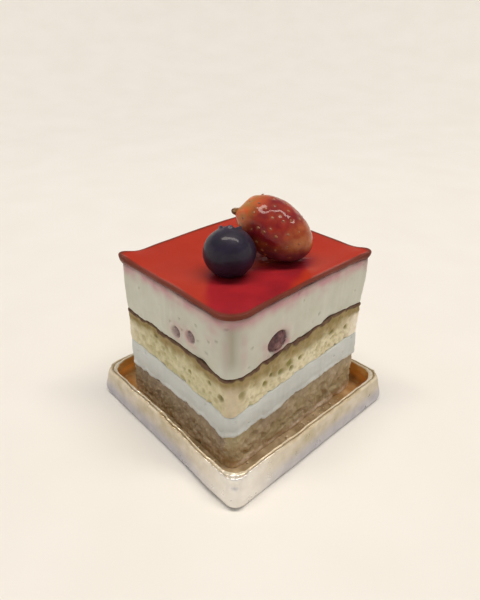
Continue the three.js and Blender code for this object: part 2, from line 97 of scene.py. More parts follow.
# The folded sheet from its foot to its floor: reach past the rim, height, and corner radius.
TRAY_SECTION = (
    (0.0, 0.0, TRAY_CORNER),
    (1.28, 0.5, TRAY_CORNER),
    (1.6, 0.27 * TRAY_TOP, TRAY_CORNER),
    (1.04, 0.6 * TRAY_TOP, TRAY_CORNER),
    (0.32, 0.9 * TRAY_TOP, TRAY_CORNER),
    (0.05, TRAY_TOP - 0.2, TRAY_CORNER),
    (-0.2, TRAY_TOP, TRAY_CORNER),
    (-0.42, TRAY_TOP - 0.2, TRAY_CORNER),
    (CREASE_REACH - TRAY_RIM, TRAY_TOP - CREASE_DEPTH, TRAY_CORNER),
    (-0.84, TRAY_TOP - 0.2, 4.1),
    (-1.06, TRAY_TOP - 0.03, 4.3),
    (-1.4, TRAY_TOP - 0.35, 5.6),
    (-1.5, TRAY_TOP - 3.2, 6.3),
    (-1.05, TRAY_TOP - 3.6, 6.1),
    (-0.3, TRAY_FLOOR + 1.2, 4.6),
    (-0.8, TRAY_FLOOR + 0.1, 4.2),
    (-1.8, TRAY_FLOOR, TRAY_CORNER),
)
TRAY_FLOOR_REACHES = (31.5, 30.0, 28.5, 27.0, 24.0, 16.0, 8.0)


def rounded_outline(width, depth, radii, steps):
    """Points and outward directions round a rectangle with rounded corners, anticlockwise from the
    front corner."""
    corners = ((1, -1), (1, 1), (-1, 1), (-1, -1))
    centres = [
        np.array((x * (width / 2 - radius), y * (depth / 2 - radius)))
        for (x, y), radius in zip(corners, radii)
    ]
    points, outward = [], []
    for index, count in enumerate(steps["corners"]):
        for step in range(count + 1):
            angle = (index - 1 + step / count) * RIGHT_ANGLE
            outward.append(np.array((math.cos(angle), math.sin(angle))))
            points.append(centres[index] + radii[index] * outward[-1])
        start = points[-1]
        end = centres[(index + 1) % 4] + radii[(index + 1) % 4] * outward[-1]
        for step in range(1, steps["side"]):
            points.append(start + step / steps["side"] * (end - start))
            outward.append(outward[-1])
    return np.array(points), np.array(outward)


def surface_of(node):
    """A CAD node's faces in mm, ready for rays."""
    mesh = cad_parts[node].data
    points = [vertex.co / MM for vertex in mesh.vertices]
    return BVHTree.FromPolygons(points, [face.vertices[:] for face in mesh.polygons])


def even_out(values, columns, rows=0.0):
    """Smooths a grid that runs round in its last direction, by that many columns and rows."""
    for spread, axis in ((columns, -1), (rows, 0)):
        reach = math.ceil(3 * spread)
        if reach == 0:
            continue
        offsets = range(-reach, reach + 1)
        weights = np.array([math.exp(-0.5 * (offset / spread) ** 2) for offset in offsets])
        weights /= weights.sum()
        if axis == 0:
            values = np.concatenate([values[:1]] * reach + [values] + [values[-1:]] * reach)
            count = len(values) - 2 * reach
            values = sum(w * values[start:start + count] for start, w in enumerate(weights))
        else:
            values = sum(w * np.roll(values, offset, axis=-1) for offset, w in zip(offsets, weights))
    return values


def measured(function, points):
    """A function's value at each point of a grid."""
    values = [function(Vector(point)) for point in points.reshape(-1, points.shape[-1])]
    return np.array(values).reshape(points.shape[:-1])


def wavy(points):
    """Smooth random waves about 1 long, from about -1 to 1, at each point of a grid."""
    return measured(noise.noise, points)


def stand_out(surface, points, outward):
    """How far a solid stands out past each point of a line round it, in the outward directions."""
    found = []
    for point, direction in zip(points, outward):
        out = Vector((*direction, 0))
        hit = surface.ray_cast(Vector(point) + RAY_START * out, -out)
        found.append(RAY_START - hit[3] if hit[0] else -RAY_START)
    return np.array(found)


def heights_on(surface, places, way=-1):
    """The height of a solid's top at each place, or of its underside by rays that go up. 0 beside it."""
    def height(place):
        hit = surface.ray_cast(Vector((place.x, place.y, -RAY_HEIGHT * way)), Vector((0, 0, way)))[0]
        return hit.z if hit else 0.0

    return measured(height, places)


def near(points, spot, width):
    """1 at a spot, falling smoothly to nothing about two widths away."""
    return np.exp(-(((points - np.array(spot)) / width) ** 2).sum(axis=-1))


def max_of(grids):
    """The greatest of some grids at each of their points."""
    return np.max(list(grids), axis=0)


def ramp(values, low, high):
    """Rises smoothly from 0 to 1 between two values, or falls where the low one is the greater."""
    share = np.clip((values - low) / (high - low), 0, 1)
    return share * share * (3 - 2 * share)


def shell(rings):
    """Points and faces of a closed skin through rings, which go from the middle of its underside out,
    up and in to the middle of its top."""
    rows, columns = rings.shape[:2]
    poles = [rings[0].mean(axis=0), rings[-1].mean(axis=0)]
    place = np.arange(rows * columns).reshape(rows, columns)
    after = np.roll(place, -1, axis=1)
    quads = np.stack([place[:-1], after[:-1], after[1:], place[1:]], axis=-1).reshape(-1, 4)
    bottom = [(rows * columns, after[0][i], place[0][i]) for i in range(columns)]
    top = [(place[-1][i], after[-1][i], rows * columns + 1) for i in range(columns)]
    return np.vstack([rings.reshape(-1, 3), poles]), quads.tolist() + bottom + top


def new_piece(name, points, faces):
    """A smooth-shaded mesh piece from points in mm."""
    mesh = bpy.data.meshes.new(name)
    mesh.from_pydata((points * MM).tolist(), [], faces)
    mesh.shade_smooth()
    piece = bpy.data.objects.new(name, mesh)
    bpy.context.scene.collection.objects.link(piece)
    return piece


def skin(name, rings, marks=None):
    """A closed piece through rings of points. Marks are values at its points that its material reads."""
    piece = new_piece(name, *shell(rings))
    for mark, values in (marks or {}).items():
        values = np.broadcast_to(values, rings.shape[:2])
        ends = [values[0].mean(), values[-1].mean()]
        layer = piece.data.attributes.new(mark, "FLOAT", "POINT")
        layer.data.foreach_set("value", np.append(values, ends).astype(np.float32))
    return piece


def linear(colour):
    """An sRGB hex colour as linear light, with alpha."""
    parts = [int(colour[i:i + 2], 16) / 255 for i in (1, 3, 5)]
    return [p / 12.92 if p <= 0.04045 else ((p + 0.055) / 1.055) ** 2.4 for p in parts] + [1.0]


def new_material(name, **settings):
    """A material whose Principled shader has these settings, named as its sockets with _ for a space."""
    material = bpy.data.materials.new(name)
    material.use_nodes = True
    shader = material.node_tree.nodes["Principled BSDF"]
    for socket, value in settings.items():
        shader.inputs[socket.replace("_", " ")].default_value = value
    return material


def add(material, kind, inputs=None, stops=None, output=0, **settings):
    """Adds a shader node with its settings, its inputs' values or links, and a colour ramp's stops, and
    gives one of its outputs."""
    tree = material.node_tree
    node = tree.nodes.new("ShaderNode" + kind)
    for name, value in settings.items():
        setattr(node, name, value)
    for socket, value in (inputs or {}).items():
        if isinstance(value, bpy.types.NodeSocket):
            tree.links.new(value, node.inputs[socket])
        else:
            node.inputs[socket].default_value = value
    if stops:
        elements = node.color_ramp.elements
        while len(elements) < len(stops):
            elements.new(0.5)
        for element, (position, colour) in zip(elements, stops):
            element.position = position
            element.color = linear(colour)
    return node.outputs[output]


def finished(material, colour, relief=None, strength=0, depth=0, bumped=("Normal",), **links):
    """The material with its colour linked to its shader, a fine relief of a depth in mm linked to the
    bumped sockets, and other outputs to the sockets that they are named for, with _ for a space."""
    links["Base_Color"] = colour
    if relief is not None:
        bump = add(material, "Bump", {"Height": relief, "Strength": strength, "Distance": depth * MM})
        links.update(dict.fromkeys(bumped, bump))
    sockets = material.node_tree.nodes["Principled BSDF"].inputs
    for name, output in links.items():
        material.node_tree.links.new(output, sockets[name.replace("_", " ")])
    return material


def grain(material, size, detail=2.0):
    """Noise with features of a size in mm, over the piece's own coordinates."""
    place = add(material, "TexCoord", output="Object")
    scaled = add(material, "VectorMath", {0: place, 1: [1 / (size * MM)] * 3}, operation="MULTIPLY")
    return add(material, "TexNoise", {"Vector": scaled, "Scale": 1.0, "Detail": detail})


def mottled(material, size, detail, *stops):
    """Colours mixed by grain of a size in mm, each given with the grain's value where it is pure."""
    return add(material, "ValToRGB", {"Fac": grain(material, size, detail)}, stops)


def tinted(material, colour, blotches, tints, span=(0.35, 0.65)):
    """A colour with tints over it. Each has the mark that says where it lies, its strength, and a tone,
    or two tones that the blotches mix between the values of the span."""
    for mark, strength, *tones in tints:
        tone = add(material, "ValToRGB", {"Fac": blotches}, [(span[0], tones[0]), (span[1], tones[-1])])
        value = add(material, "Attribute", output="Fac", attribute_name=mark)
        share = add(material, "MapRange", {"Value": value, 4: strength})
        colour = add(material, "Mix", {0: share, 6: colour, 7: tone}, output=2, data_type="RGBA")
    return colour


def dress(piece, slot, material, *nodes):
    """The piece gets its material, rides on the cake's one body and stands for CAD nodes."""
    piece.data.materials.append(material)
    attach(piece, "root")
    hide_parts(*nodes)


def tray_section():
    """The folded sheet's section as a smooth line, then the floor's rings."""
    knots = np.array(TRAY_SECTION) + (TRAY_RIM, 0, 0)
    line = []
    for index in range(len(knots) - 1):
        before, start, end, after = knots[np.clip(range(index - 1, index + 3), 0, len(knots) - 1)]
        steps = max(4, round(np.linalg.norm(end[:2] - start[:2]) / TRAY_RING_GAP))
        for share in np.arange(steps) / steps:
            bend = 2 * before - 5 * start + 4 * end - after
            twist = 3 * start - before - 3 * end + after
            line.append(start + 0.5 * share * (end - before + share * (bend + share * twist)))
    return line + [(reach, TRAY_FLOOR, TRAY_CORNER) for reach in TRAY_FLOOR_REACHES]


def tray_dents():
    """How far the foil was pushed out near its foot and below its rim, and how far its rim rises."""
    surface = surface_of("foil_tray")
    outline, outward = rounded_outline(2 * TRAY_RIM, 2 * TRAY_RIM, (TRAY_CORNER,) * 4, TRAY_STEPS)
    walls = []
    for height, past_rim in WALL_SPOTS:
        line = np.column_stack([outline + past_rim * outward, np.full(len(outline), height)])
        walls.append(even_out(stand_out(surface, line, outward), 4))
    crest = heights_on(surface, outline - 0.25 * outward)
    return *walls, even_out(crest, 4) - TRAY_TOP


def tray_mesh():
    """The tray's rings, with the dents of its CAD solid and finer creases."""
    low, high, rise = tray_dents()
    section = tray_section()
    outlines = [rounded_outline(2 * r, 2 * r, (corner,) * 4, TRAY_STEPS) for r, _, corner in section]
    ring, out = np.moveaxis(np.array(outlines), 1, 0)
    reach, height = np.array(section)[:, :2].T[..., None]
    inside = np.maximum.accumulate((reach < INSIDE_REACH).astype(float))
    up = ramp(height, TRAY_FLOOR, TRAY_TOP)
    low_spot, high_spot = WALL_SPOTS[0][0], WALL_SPOTS[1][0]
    between = np.clip((height - low_spot) / (high_spot - low_spot), 0, 1.2)
    push = (low + between * (high - low)) * ramp(height, 0, 2.4)
    points = np.dstack([ring + push[..., None] * out, height + up * rise])

    handled = 0.4 + 0.6 * max_of(near(ring, (x, y), width) for x, y, width in HANDLED_SPOTS)
    crumple = CRUMPLE_DEPTH * wavy(points / CRUMPLE_SIZE)
    fold = FOLD_DEPTH * ramp(abs(wavy(points / FOLD_SIZE + 7)), 0.3, 0)
    crinkle = CRINKLE_DEPTH * ramp(height, 6.5, 9.5) * wavy(points / CRINKLE_SIZE + 11)
    round_corner = 2 * abs(out[..., 0] * out[..., 1])
    around = np.arctan2(out[..., 1], out[..., 0])
    pleat = PLEAT_DEPTH * np.sin(4 * PLEATS * around) * round_corner
    at_crease = ramp(abs(reach - CREASE_REACH), 0.45, 0.1) * (height > TRAY_TOP - 2)
    wander = 0.22 * at_crease * wavy(points / 5 + 3)
    dent = DENT_DEPTH * near(points, CORNER_DENT, DENT_SIZE)
    relief = up * (handled * (crumple + fold + crinkle) + pleat + wander - dent)
    relief -= 0.3 * ramp(abs(height - 4.5), 4, 1) * (1 - inside)  # the bulge stays inside its solid
    points[..., :2] += relief[..., None] * out
    points[..., 2] += 0.6 * up * relief
    points = np.clip(points, np.array(cad_low) / MM, np.array(cad_high) / MM)

    orange_floor = max_of(near(ring, spot, ORANGE_FLOOR_WIDTH) for spot in ORANGE_FLOOR_CORNERS)
    marks = {
        # Painted highlight: the top of the rim is painted a brighter cream.
        "rim": (1 - inside) * ramp(height, 9.2, 10.2),
        # Painted reflection of the shadowed floor: the foot is painted greyer.
        "foot": (1 - inside) * ramp(height, 7.5, 2.5),
        # Painted reflection: paler, near silver, at the front corner.
        "corner_reflection": (1 - inside) * near(ring, PALE_REFLECTION_CORNER, PALE_REFLECTION_WIDTH),
        "inside": inside,
        # Painted highlight along the hem inside the rim.
        "lip": ramp(abs(reach - HEM_HIGHLIGHT_REACH), 0.5, 0.2) * (height > TRAY_TOP - 0.5),
        # Browner and matt lower down inside, except at two corners.
        "floor_brown": inside * ramp(height, 6.0, 2.4) * (1 - orange_floor),
    }
    return skin("foil_tray_sheet", points, marks)


def gold_foil():
    """Gold-lacquered aluminium foil, pressed and crinkled: a broken pale mirror, with painted highlights
    along its rim and the hem inside it, greyer at its foot as a painted reflection of the shadowed
    floor, paler and near silver at the front corner as a painted reflection, and a deeper orange gold
    inside, painted for the light that goes to and fro there. The floor inside is browner and matt,
    except at two corners."""
    material = new_material("gold_lacquered_foil", Metallic=0.6, Roughness=0.3)
    pale = mottled(material, 5, 2, (0.35, "#bdb296"), (0.65, "#d8cdbd"))
    colour = tinted(material, pale, grain(material, 4), (
        # Painted highlight along the top of the rim
        ("rim", 1.0, "#cdbb9a", "#e6dac2"),
        # Painted reflection of the shadowed floor at the foot
        ("foot", 1.0, "#b0aeb6", "#c2bfc5"),
        # Painted reflection, paler at the front corner
        ("corner_reflection", 1.0, "#e6e1da", "#f0ece5"),
        ("inside", 1.0, "#efae56", "#fbcb82"),
        # Painted highlight along the hem
        ("lip", 1.0, "#f4e4c4", "#fff4de"),
        # Browner lower down inside, except at two corners
        ("floor_brown", 1.0, "#9c8764", "#ccb998"),
    ))
    floor_brown = add(material, "Attribute", output="Fac", attribute_name="floor_brown")
    polish = add(material, "MapRange", {"Value": grain(material, 5, 4), 3: 0.2, 4: 0.42})
    roughness = add(material, "Mix", {0: floor_brown, 2: polish, 3: 0.6}, data_type="FLOAT")
    creases = grain(material, 1.1)  # real creases are finer: drawn at 1.1 mm so that they show
    return finished(material, colour, creases, strength=0.3, depth=0.15, Roughness=roughness)


dress(tray_mesh(), "gold_foil", gold_foil(), "foil_tray")

# ------------------------------------------------------------------ crumb base
# Biscuit and sponge crumb bound with butter and pressed into the foot of the cake. It is set cold, cut
# with the rest of the cake, and its cut sides show every crumb.

CAKE_WIDTH = 52.3
CAKE_DEPTH = 58.1
CAKE_CENTRE = np.array((-0.4, 0.8))
FRONT_EDGE = CAKE_CENTRE + np.array((CAKE_WIDTH, -CAKE_DEPTH)) / 2  # in plan, before it is worn round
CAKE_CORNER = 1.1  # radius of the right, back and left edges
CAKE_STEPS = {"side": 208, "corners": (26, 7, 7, 7)}
JOIN_INSET = 0.9  # how far inside the cut sides the height of a join is taken
SIDE_PROBES = 9  # heights at which the side of a layer's solid is measured
JOIN_CLEARANCE = 0.35  # rays closer to a join than this could miss the solid
POCKET_DEPTH = 1.5  # a hollow in a solid's side deeper than this is a berry's pocket
LAP = 0.12  # how far each layer reaches into the next, so that no light shows between them
CAP_SHRINKS = (0.4, 0.8, 0.95, 0.992)  # rings of a hidden face, towards its edge
HIDDEN_DISH = 3.0  # how far the middle of a hidden face lies below its edges
BASE_ROWS = 48
BASE_EDGE = 0.35  # radius of its upper edge
COARSE_CRUMB, COARSE_DEPTH = 2.3, 0.4  # width, and depth of the gaps between
FINE_CRUMB, FINE_DEPTH = 0.95, 0.25
HOLLOW_WIDTH, HOLLOW_DEPTH = 3.1, 0.4  # where crumbs have fallen out
CORNER_LIGHT_WIDTH = 7.0  # of the painted light on the right side, beside the front edge
CRUMB_COUNT = 70  # loose crumbs on the floor of the tray
CRUMB_SIZES = (0.35, 1.1)
CRUMB_SPREAD = 3.2  # how far from the foot of the cake they lie


def layer_join(below, above, front_radius, *waves):
    """The line round the cake where two layers meet, from the solids that they stand for, made uneven by
    waves of (height, length)."""
    radii = (front_radius, CAKE_CORNER, CAKE_CORNER, CAKE_CORNER)
    line, outward = rounded_outline(CAKE_WIDTH, CAKE_DEPTH, radii, CAKE_STEPS)
    line = line + CAKE_CENTRE
    inner = line - JOIN_INSET * outward
    solids = ((node, way) for node, way in ((below, -1), (above, 1)) if node)
    heights = [heights_on(surface_of(node), inner, way) for node, way in solids]
    line = np.column_stack([line, even_out(np.mean(heights, axis=0), 5)])
    for high, long in waves:
        line[:, 2] += high * wavy(line * (1, 1, 0) / long + long)
    return line, outward


def side_push(node, lower, upper, shares):
    """How far a layer's solid stands out between its joins, by shares of the layer's height."""
    surface = surface_of(node)
    edge = JOIN_CLEARANCE / (upper[:, 2:] - lower[:, 2:])
    probes = np.linspace(0, 1, SIDE_PROBES)
    found = []
    for probe in probes:
        row = stand_out(surface, lower + np.clip(probe, edge, 1 - edge) * (upper - lower), cake_outward)
        kept = np.flatnonzero(row > -POCKET_DEPTH)
        found.append(np.interp(range(len(row)), kept, row[kept]))
    found = even_out(np.array(found), 5, 0.7).T
    return np.array([[np.interp(share, probes, column) for column in found] for share in shares])


def layer_grid(node, lower, upper, rows, bunched=False):
    """A layer's side as a grid of points, with the height over its foot and the depth under its top. The
    rows may be bunched towards its top."""
    shares = np.linspace(0, 1, rows)
    if bunched:
        shares = np.sin(shares * RIGHT_ANGLE)
    points = lower + shares[:, None, None] * (upper - lower)
    points = pushed(points, side_push(node, lower, upper, shares))
    return points, points[..., 2] - lower[:, 2], upper[:, 2] - points[..., 2]


def rolled(depth, radius):
    """How far a rounded edge draws in at a depth below it."""
    short = np.clip(radius - depth, 0, radius)
    return radius - np.sqrt(radius**2 - short**2)


def edges_rolled(up, down, radii):
    """How far a layer's lower and upper edge draw in."""
    return rolled(up, radii[0]) + rolled(down, radii[1])


def cap(edge, shrinks, lift):
    """Rings of a hidden face inside its edge, lifted a little and dished towards its middle."""
    middle = np.array((*CAKE_CENTRE, edge[:, 2].mean() - HIDDEN_DISH))
    rings = [middle + (edge - middle) * (shrink, shrink, shrink**4) + (0, 0, lift) for shrink in shrinks]
    return list(np.maximum(rings, (-math.inf, -math.inf, TRAY_FLOOR - LAP)))


def layer_mesh(name, points, marks):
    """A layer closed by its two hidden faces."""
    rings = cap(points[0], CAP_SHRINKS, -LAP) + list(points) + cap(points[-1], CAP_SHRINKS[::-1], LAP)
    hidden = len(CAP_SHRINKS)
    padded = {
        mark: np.concatenate([values[:1]] * hidden + [values] + [values[-1:]] * hidden)
        for mark, values in marks.items()
    }
    return skin(name, np.array(rings), padded)


def pushed(points, relief):
    """The side's points moved outwards by the relief."""
    points = points.copy()
    points[..., :2] += relief[..., None] * cake_outward
    return points


def cell_distance(point):
    """How far a point is from the middle of its cell, in a pattern of cells about 1 wide."""
    return noise.voronoi(point)[0][0]


floor_join, cake_outward = layer_join(None, "base_layer", 3.0)
base_join, _ = layer_join("base_layer", "lower_cream", 3.0, (0.8, 2.6), (0.45, 1.1))


def base_mesh():
    """The base's cut side: crumbs of two sizes, and hollows where crumbs have fallen out."""
    points, up, down = layer_grid("base_layer", floor_join, base_join, BASE_ROWS)
    points[0, :, 2] = TRAY_FLOOR - LAP  # its foot sits in the floor
    crumbs = measured(cell_distance, points / COARSE_CRUMB)
    fine = measured(cell_distance, points / FINE_CRUMB)
    hollows = ramp(wavy(points / HOLLOW_WIDTH), 0.22, 0.55)
    relief = COARSE_DEPTH * (0.45 - crumbs) + FINE_DEPTH * (0.5 - fine) - HOLLOW_DEPTH * hollows
    relief -= rolled(down, BASE_EDGE)
    uneven = 1.5 * wavy(points / 4)
    right_side = ramp((points[..., :2] - FRONT_EDGE).sum(axis=-1), -3.8, -2.2)
    # Painted light on the right side, beside the front edge, which pales the crumb there.
    dried = right_side * near(points[..., :2], FRONT_EDGE, CORNER_LIGHT_WIDTH)
    bits = wavy(points / 5 + 4) + 0.3 * dried
    marks = {
        # Painted shade: the gaps between crumbs and the hollows are darker.
        "gap": crumbs + 0.4 * fine + 0.4 * hollows,
        # Painted light: paler towards the foot and on the right side, most of all beside the front edge.
        "paler_patch": (0.25 + 0.75 * right_side) * ramp(up + uneven, 9, 2) + 0.4 * dried * ramp(up, 2, 6),
        # Greyer towards the cream above: partly moistened crumb and partly painted shade, strongest on
        # the left side.
        "moist_and_shade": (1 - 0.3 * right_side - 0.6 * dried) * ramp(down + uneven, 8, 0),
        "olive": (0.3 + 0.7 * right_side) * ramp(bits, -0.1, 0.3),
        # Painted highlight along the foot of the right side.
        "foot_highlight": ramp(up + 0.4 * uneven, 2.6, 1.2) * ramp(points[..., 0], 24.5, 25.5),
    }
    return layer_mesh("base_crumb", pushed(points, relief), marks)


def ball_directions(rows, columns):
    """Unit directions from the lowest to the highest point of a ball."""
    angle = np.linspace(math.pi, 0, rows + 2)[1:-1, None]
    around = np.linspace(0, 2 * math.pi, columns, endpoint=False)[None, :]
    flat = np.sin(angle)
    return np.dstack([flat * np.cos(around), flat * np.sin(around), np.cos(angle) + 0 * around])


def joined(name, parts):
    """One piece made of many separate closed skins, each given by its rings."""
    points, faces = [], []
    count = 0
    for rings in parts:
        shape, sides = shell(rings)
        faces += [[corner + count for corner in side] for side in sides]
        points.append(shape)
        count += len(shape)
    return new_piece(name, np.vstack(points), faces)


def loose_crumbs_mesh():
    """Crumbs that have dropped off the cut sides, most of them close to the foot of the cake."""
    draw = np.random.default_rng(5)
    ball = ball_directions(7, 10)
    crumbs = []
    for _ in range(CRUMB_COUNT):
        size = draw.uniform(*CRUMB_SIZES) * draw.uniform(0.5, 1.0)
        place = draw.integers(len(floor_join))
        away = 0.4 + size + CRUMB_SPREAD * draw.random() ** 2
        middle = floor_join[place] + away * np.array((*cake_outward[place], 0))
        middle[2] = TRAY_FLOOR + 0.35 * size
        lumps = 1 + 0.5 * wavy(ball * 1.6 + 9 * len(crumbs))
        crumbs.append(middle + ball * lumps[..., None] * size * (0.5, 0.5, 0.4))
    return joined("tray_crumbs", crumbs)


def crumb():
    """Buttered biscuit and sponge crumb, pressed: matt tan grains with olive bits, and gaps that are
    darker as painted shade. It is greyer towards the cream above, partly where the cream has moistened
    it and partly as painted shade, most of all on the left side. Painted light makes it paler towards
    its foot, most of all on the right side and beside the front edge, and a painted highlight runs
    along the foot of the right side."""
    material = new_material("pressed_biscuit_crumb", Roughness=0.85, IOR=1.45)
    # The gaps and hollows are darker as painted shade.
    gaps = add(material, "Attribute", output="Fac", attribute_name="gap")
    brown = [(0.25, "#e4d7ba"), (0.6, "#cfbd9a"), (1.0, "#a58f6c")]
    relief = add(material, "ValToRGB", {"Fac": gaps}, brown)
    blotches = grain(material, 3, 3)
    tan = add(material, "ValToRGB", {"Fac": blotches}, [(0.3, "#b7a578"), (0.7, "#e0ccac")])
    mixed = add(material, "Mix", {0: 0.5, 6: relief, 7: tan}, output=2, data_type="RGBA")
    colour = tinted(material, mixed, blotches, (
        # Painted light: paler towards the foot and on the right side
        ("paler_patch", 0.6, "#f1e8c6"),
        ("olive", 0.5, "#bdae7c"),
        # Partly moistened crumb, partly painted shade
        ("moist_and_shade", 0.85, "#9a8774"),
        # Painted highlight along the foot of the right side
        ("foot_highlight", 0.8, "#f0e2cc"),
    ))
    return finished(material, colour, grain(material, 0.5, 4), strength=0.6, depth=0.25)


crumb_finish = crumb()
dress(base_mesh(), "crumb_base", crumb_finish, "base_layer")
dress(loose_crumbs_mesh(), "crumb_base", crumb_finish)

# ------------------------------------------------------------------ lower cream
# Whipped cream cheese set with gelatine, spread over the base while soft, so that it runs down between
# the crumbs. The knife has left it smooth, with upright drag lines and a few burst bubbles.

LOWER_CREAM_ROWS = 42
LOWER_CREAM_EDGES = (0.6, 0.3)  # radii of its lower and upper edge
LIP_HEIGHT, LIP_DEPTH = 0.9, 0.4  # of the lip where it has run down over the crumbs
CREAM_WAVES = (0.14, 9)  # height and length
CREAM_DRAG = (0.1, (1.7, 1.7, 16))
CREAM_SMEARS = (0.1, (3.3, 3.3, 2.1))
BUBBLE_SPACING = 2.6
BUBBLE_DEPTH = 0.4

sponge_join, _ = layer_join("lower_cream", "sponge_layer", 3.2, (0.5, 4.2), (0.2, 1.5))


def bubble(point):
    """The depth, from 0 to 1, of a small round pit that only some of the cells of a pattern have."""
    distances, middles = noise.voronoi(point)
    size = 0.26 * max(0.0, noise.cell(13.7 * middles[0]))
    if distances[0] >= size:
        return 0.0
    return math.sqrt(1 - (distances[0] / size) ** 2)


def cream_relief(points):
    """Soft waves, upright drag lines, smears and burst bubbles."""
    smooth = sum(high * wavy(points / long) for high, long in (CREAM_WAVES, CREAM_DRAG, CREAM_SMEARS))
    return smooth - BUBBLE_DEPTH * measured(bubble, points / BUBBLE_SPACING)


def lower_cream_mesh():
    """Its cut side, with the rounded lip at its foot."""
    points, up, down = layer_grid("lower_cream", base_join, sponge_join, LOWER_CREAM_ROWS)
    lip = LIP_DEPTH * near(up[..., None], LIP_HEIGHT, LIP_HEIGHT)
    relief = cream_relief(points) + lip - edges_rolled(up, down, LOWER_CREAM_EDGES)
    stain = 0.5 * ramp(wavy(points / 7), 0.1, 0.6) * ramp(up, 3, 0)
    return layer_mesh("lower_cream_filling", pushed(points, relief), {"stain": stain})


def cream(name, dark, light, stain_tint):
    """Gelatine-set whipped cream cheese, cut by a knife: a satin off-white that light soaks into."""
    material = new_material(
        name, Roughness=0.5, IOR=1.45,
        Subsurface_Weight=0.25, Subsurface_Radius=(1.0, 0.75, 0.5), Subsurface_Scale=1.6 * MM,
    )
    blotches = grain(material, 8, 3)
    plain = add(material, "ValToRGB", {"Fac": blotches}, [(0.35, dark), (0.65, light)])
    colour = tinted(material, plain, blotches, (
        # Painted shade in the cutter's furrow
        ("furrow", 1.0, "#b3ad98"),
        ("stain", 1.0, stain_tint),
        # Painted shadow just under the jelly's edge
        ("shade_under_jelly", 0.55, "#7d5f56"),
    ))
    return finished(material, colour, grain(material, 0.7, 3), strength=0.2, depth=0.2)


# Its bluer grey than the upper cream's is painted cool shade on the lower layer.
lower_cream = cream("set_cream_cheese_lower", "#c9ccc7", "#d2d5d1", "#b7a183")
dress(lower_cream_mesh(), "cream", lower_cream, "lower_cream")

# ------------------------------------------------------------------ sponge
# A sheet of egg sponge, baked flat and laid in whole: an open yellow crumb, its pores cut through by the
# knife, under the thin brown skin that it got in the oven.

SPONGE_ROWS = 54
SPONGE_EDGES = (0.3, 0.5)
SPONGE_STANDS_OUT = 0.1
SKIN_DEPTH = 1.1  # of the dark skin
TOASTED_DEPTHS = (6.0, 8.8)  # of the browner crumb under it, on the left and on the right side
DRY_EDGES = (  # where the crumb has dried paler: place in plan, and how much
    (FRONT_EDGE[0], FRONT_EDGE[1] + CAKE_DEPTH, 1.0),
    (FRONT_EDGE[0] - CAKE_WIDTH, FRONT_EDGE[1], 0.5),
)
DRY_WIDTH = 6
WIPED_WIDTH = 4.2  # of the band at the front edge where cream was wiped over the crumb
TOASTED_SPOT = (FRONT_EDGE[0], -10, 32)  # browned all the way down to here
TOASTED_SIZE = (3, 6.5, 2.8)
PORES = ((3.3, 0.7, 0), (1.7, 0.35, 5), (0.9, 0.2, 9))  # sizes of pore: spacing, share, pattern's shift
PORE_DEPTH = 0.55

# Lumps and dips in the skin: place along the right side, how far it rises into the cream, width, and
# extra thickness.
SKIN_LUMPS = (
    (-6.3, 0.9, 1.3, 2.6),
    (-1.9, 0.6, 1.6, 2.4),
    (2.6, -0.8, 2.2, 0.2),
    (6.5, 0.5, 1.8, 0.3),
    (20.0, 0.5, 2.2, 0.3),
)

# Large pores that stand out on the two sides towards the front: place along the side, height and width.
LEFT_PORES = ((21.1, 27.8, 1.9), (7.3, 29.2, 1.4), (-10.4, 33.0, 1.3), (16.4, 30.6, 1.2))
RIGHT_PORES = (
    (-24.1, 29.5, 2.0),
    (-15.0, 28.6, 1.5),
    (-12.4, 30.4, 1.2),
    (-8.3, 29.4, 1.9),
    (-4.6, 30.8, 2.1),
    (-3.6, 28.4, 1.6),
    (0.3, 30.5, 1.3),
    (15.5, 33.0, 1.4),
    (23.0, 31.8, 1.6),
)
OPEN_PORE_DEPTH = 0.8
OPEN_PORE_LIFT = 0.05  # how far outside the sides their middles lie

upper_join, _ = layer_join("sponge_layer", "upper_cream", 4.8, (0.35, 4.4), (0.25, 1.6))
for along, rise, width, _ in SKIN_LUMPS:
    upper_join[:, 2] += rise * near(upper_join[:, :2], (FRONT_EDGE[0], along), width)


def pore(point):
    """The depth, from 0 to 1, of the sponge's pore at a point of a pattern: each has its own size."""
    distances, middles = noise.voronoi(point)
    size = 0.2 + 0.34 * max(0.0, noise.cell(11.3 * middles[0]))
    return math.sqrt(max(0.0, 1 - (distances[0] / size) ** 2))


def open_pores(points):
    """How deep, from 0 to 1, the large pores are at each point of the side."""
    right_side, left_side = FRONT_EDGE + (OPEN_PORE_LIFT, -OPEN_PORE_LIFT)
    pores = [(along, left_side, z, width) for along, z, width in LEFT_PORES]
    pores += [(right_side, along, z, width) for along, z, width in RIGHT_PORES]
    return max_of(
        ramp(np.linalg.norm(points - place, axis=-1) / width, 0.85, 0.35) for *place, width in pores
    )


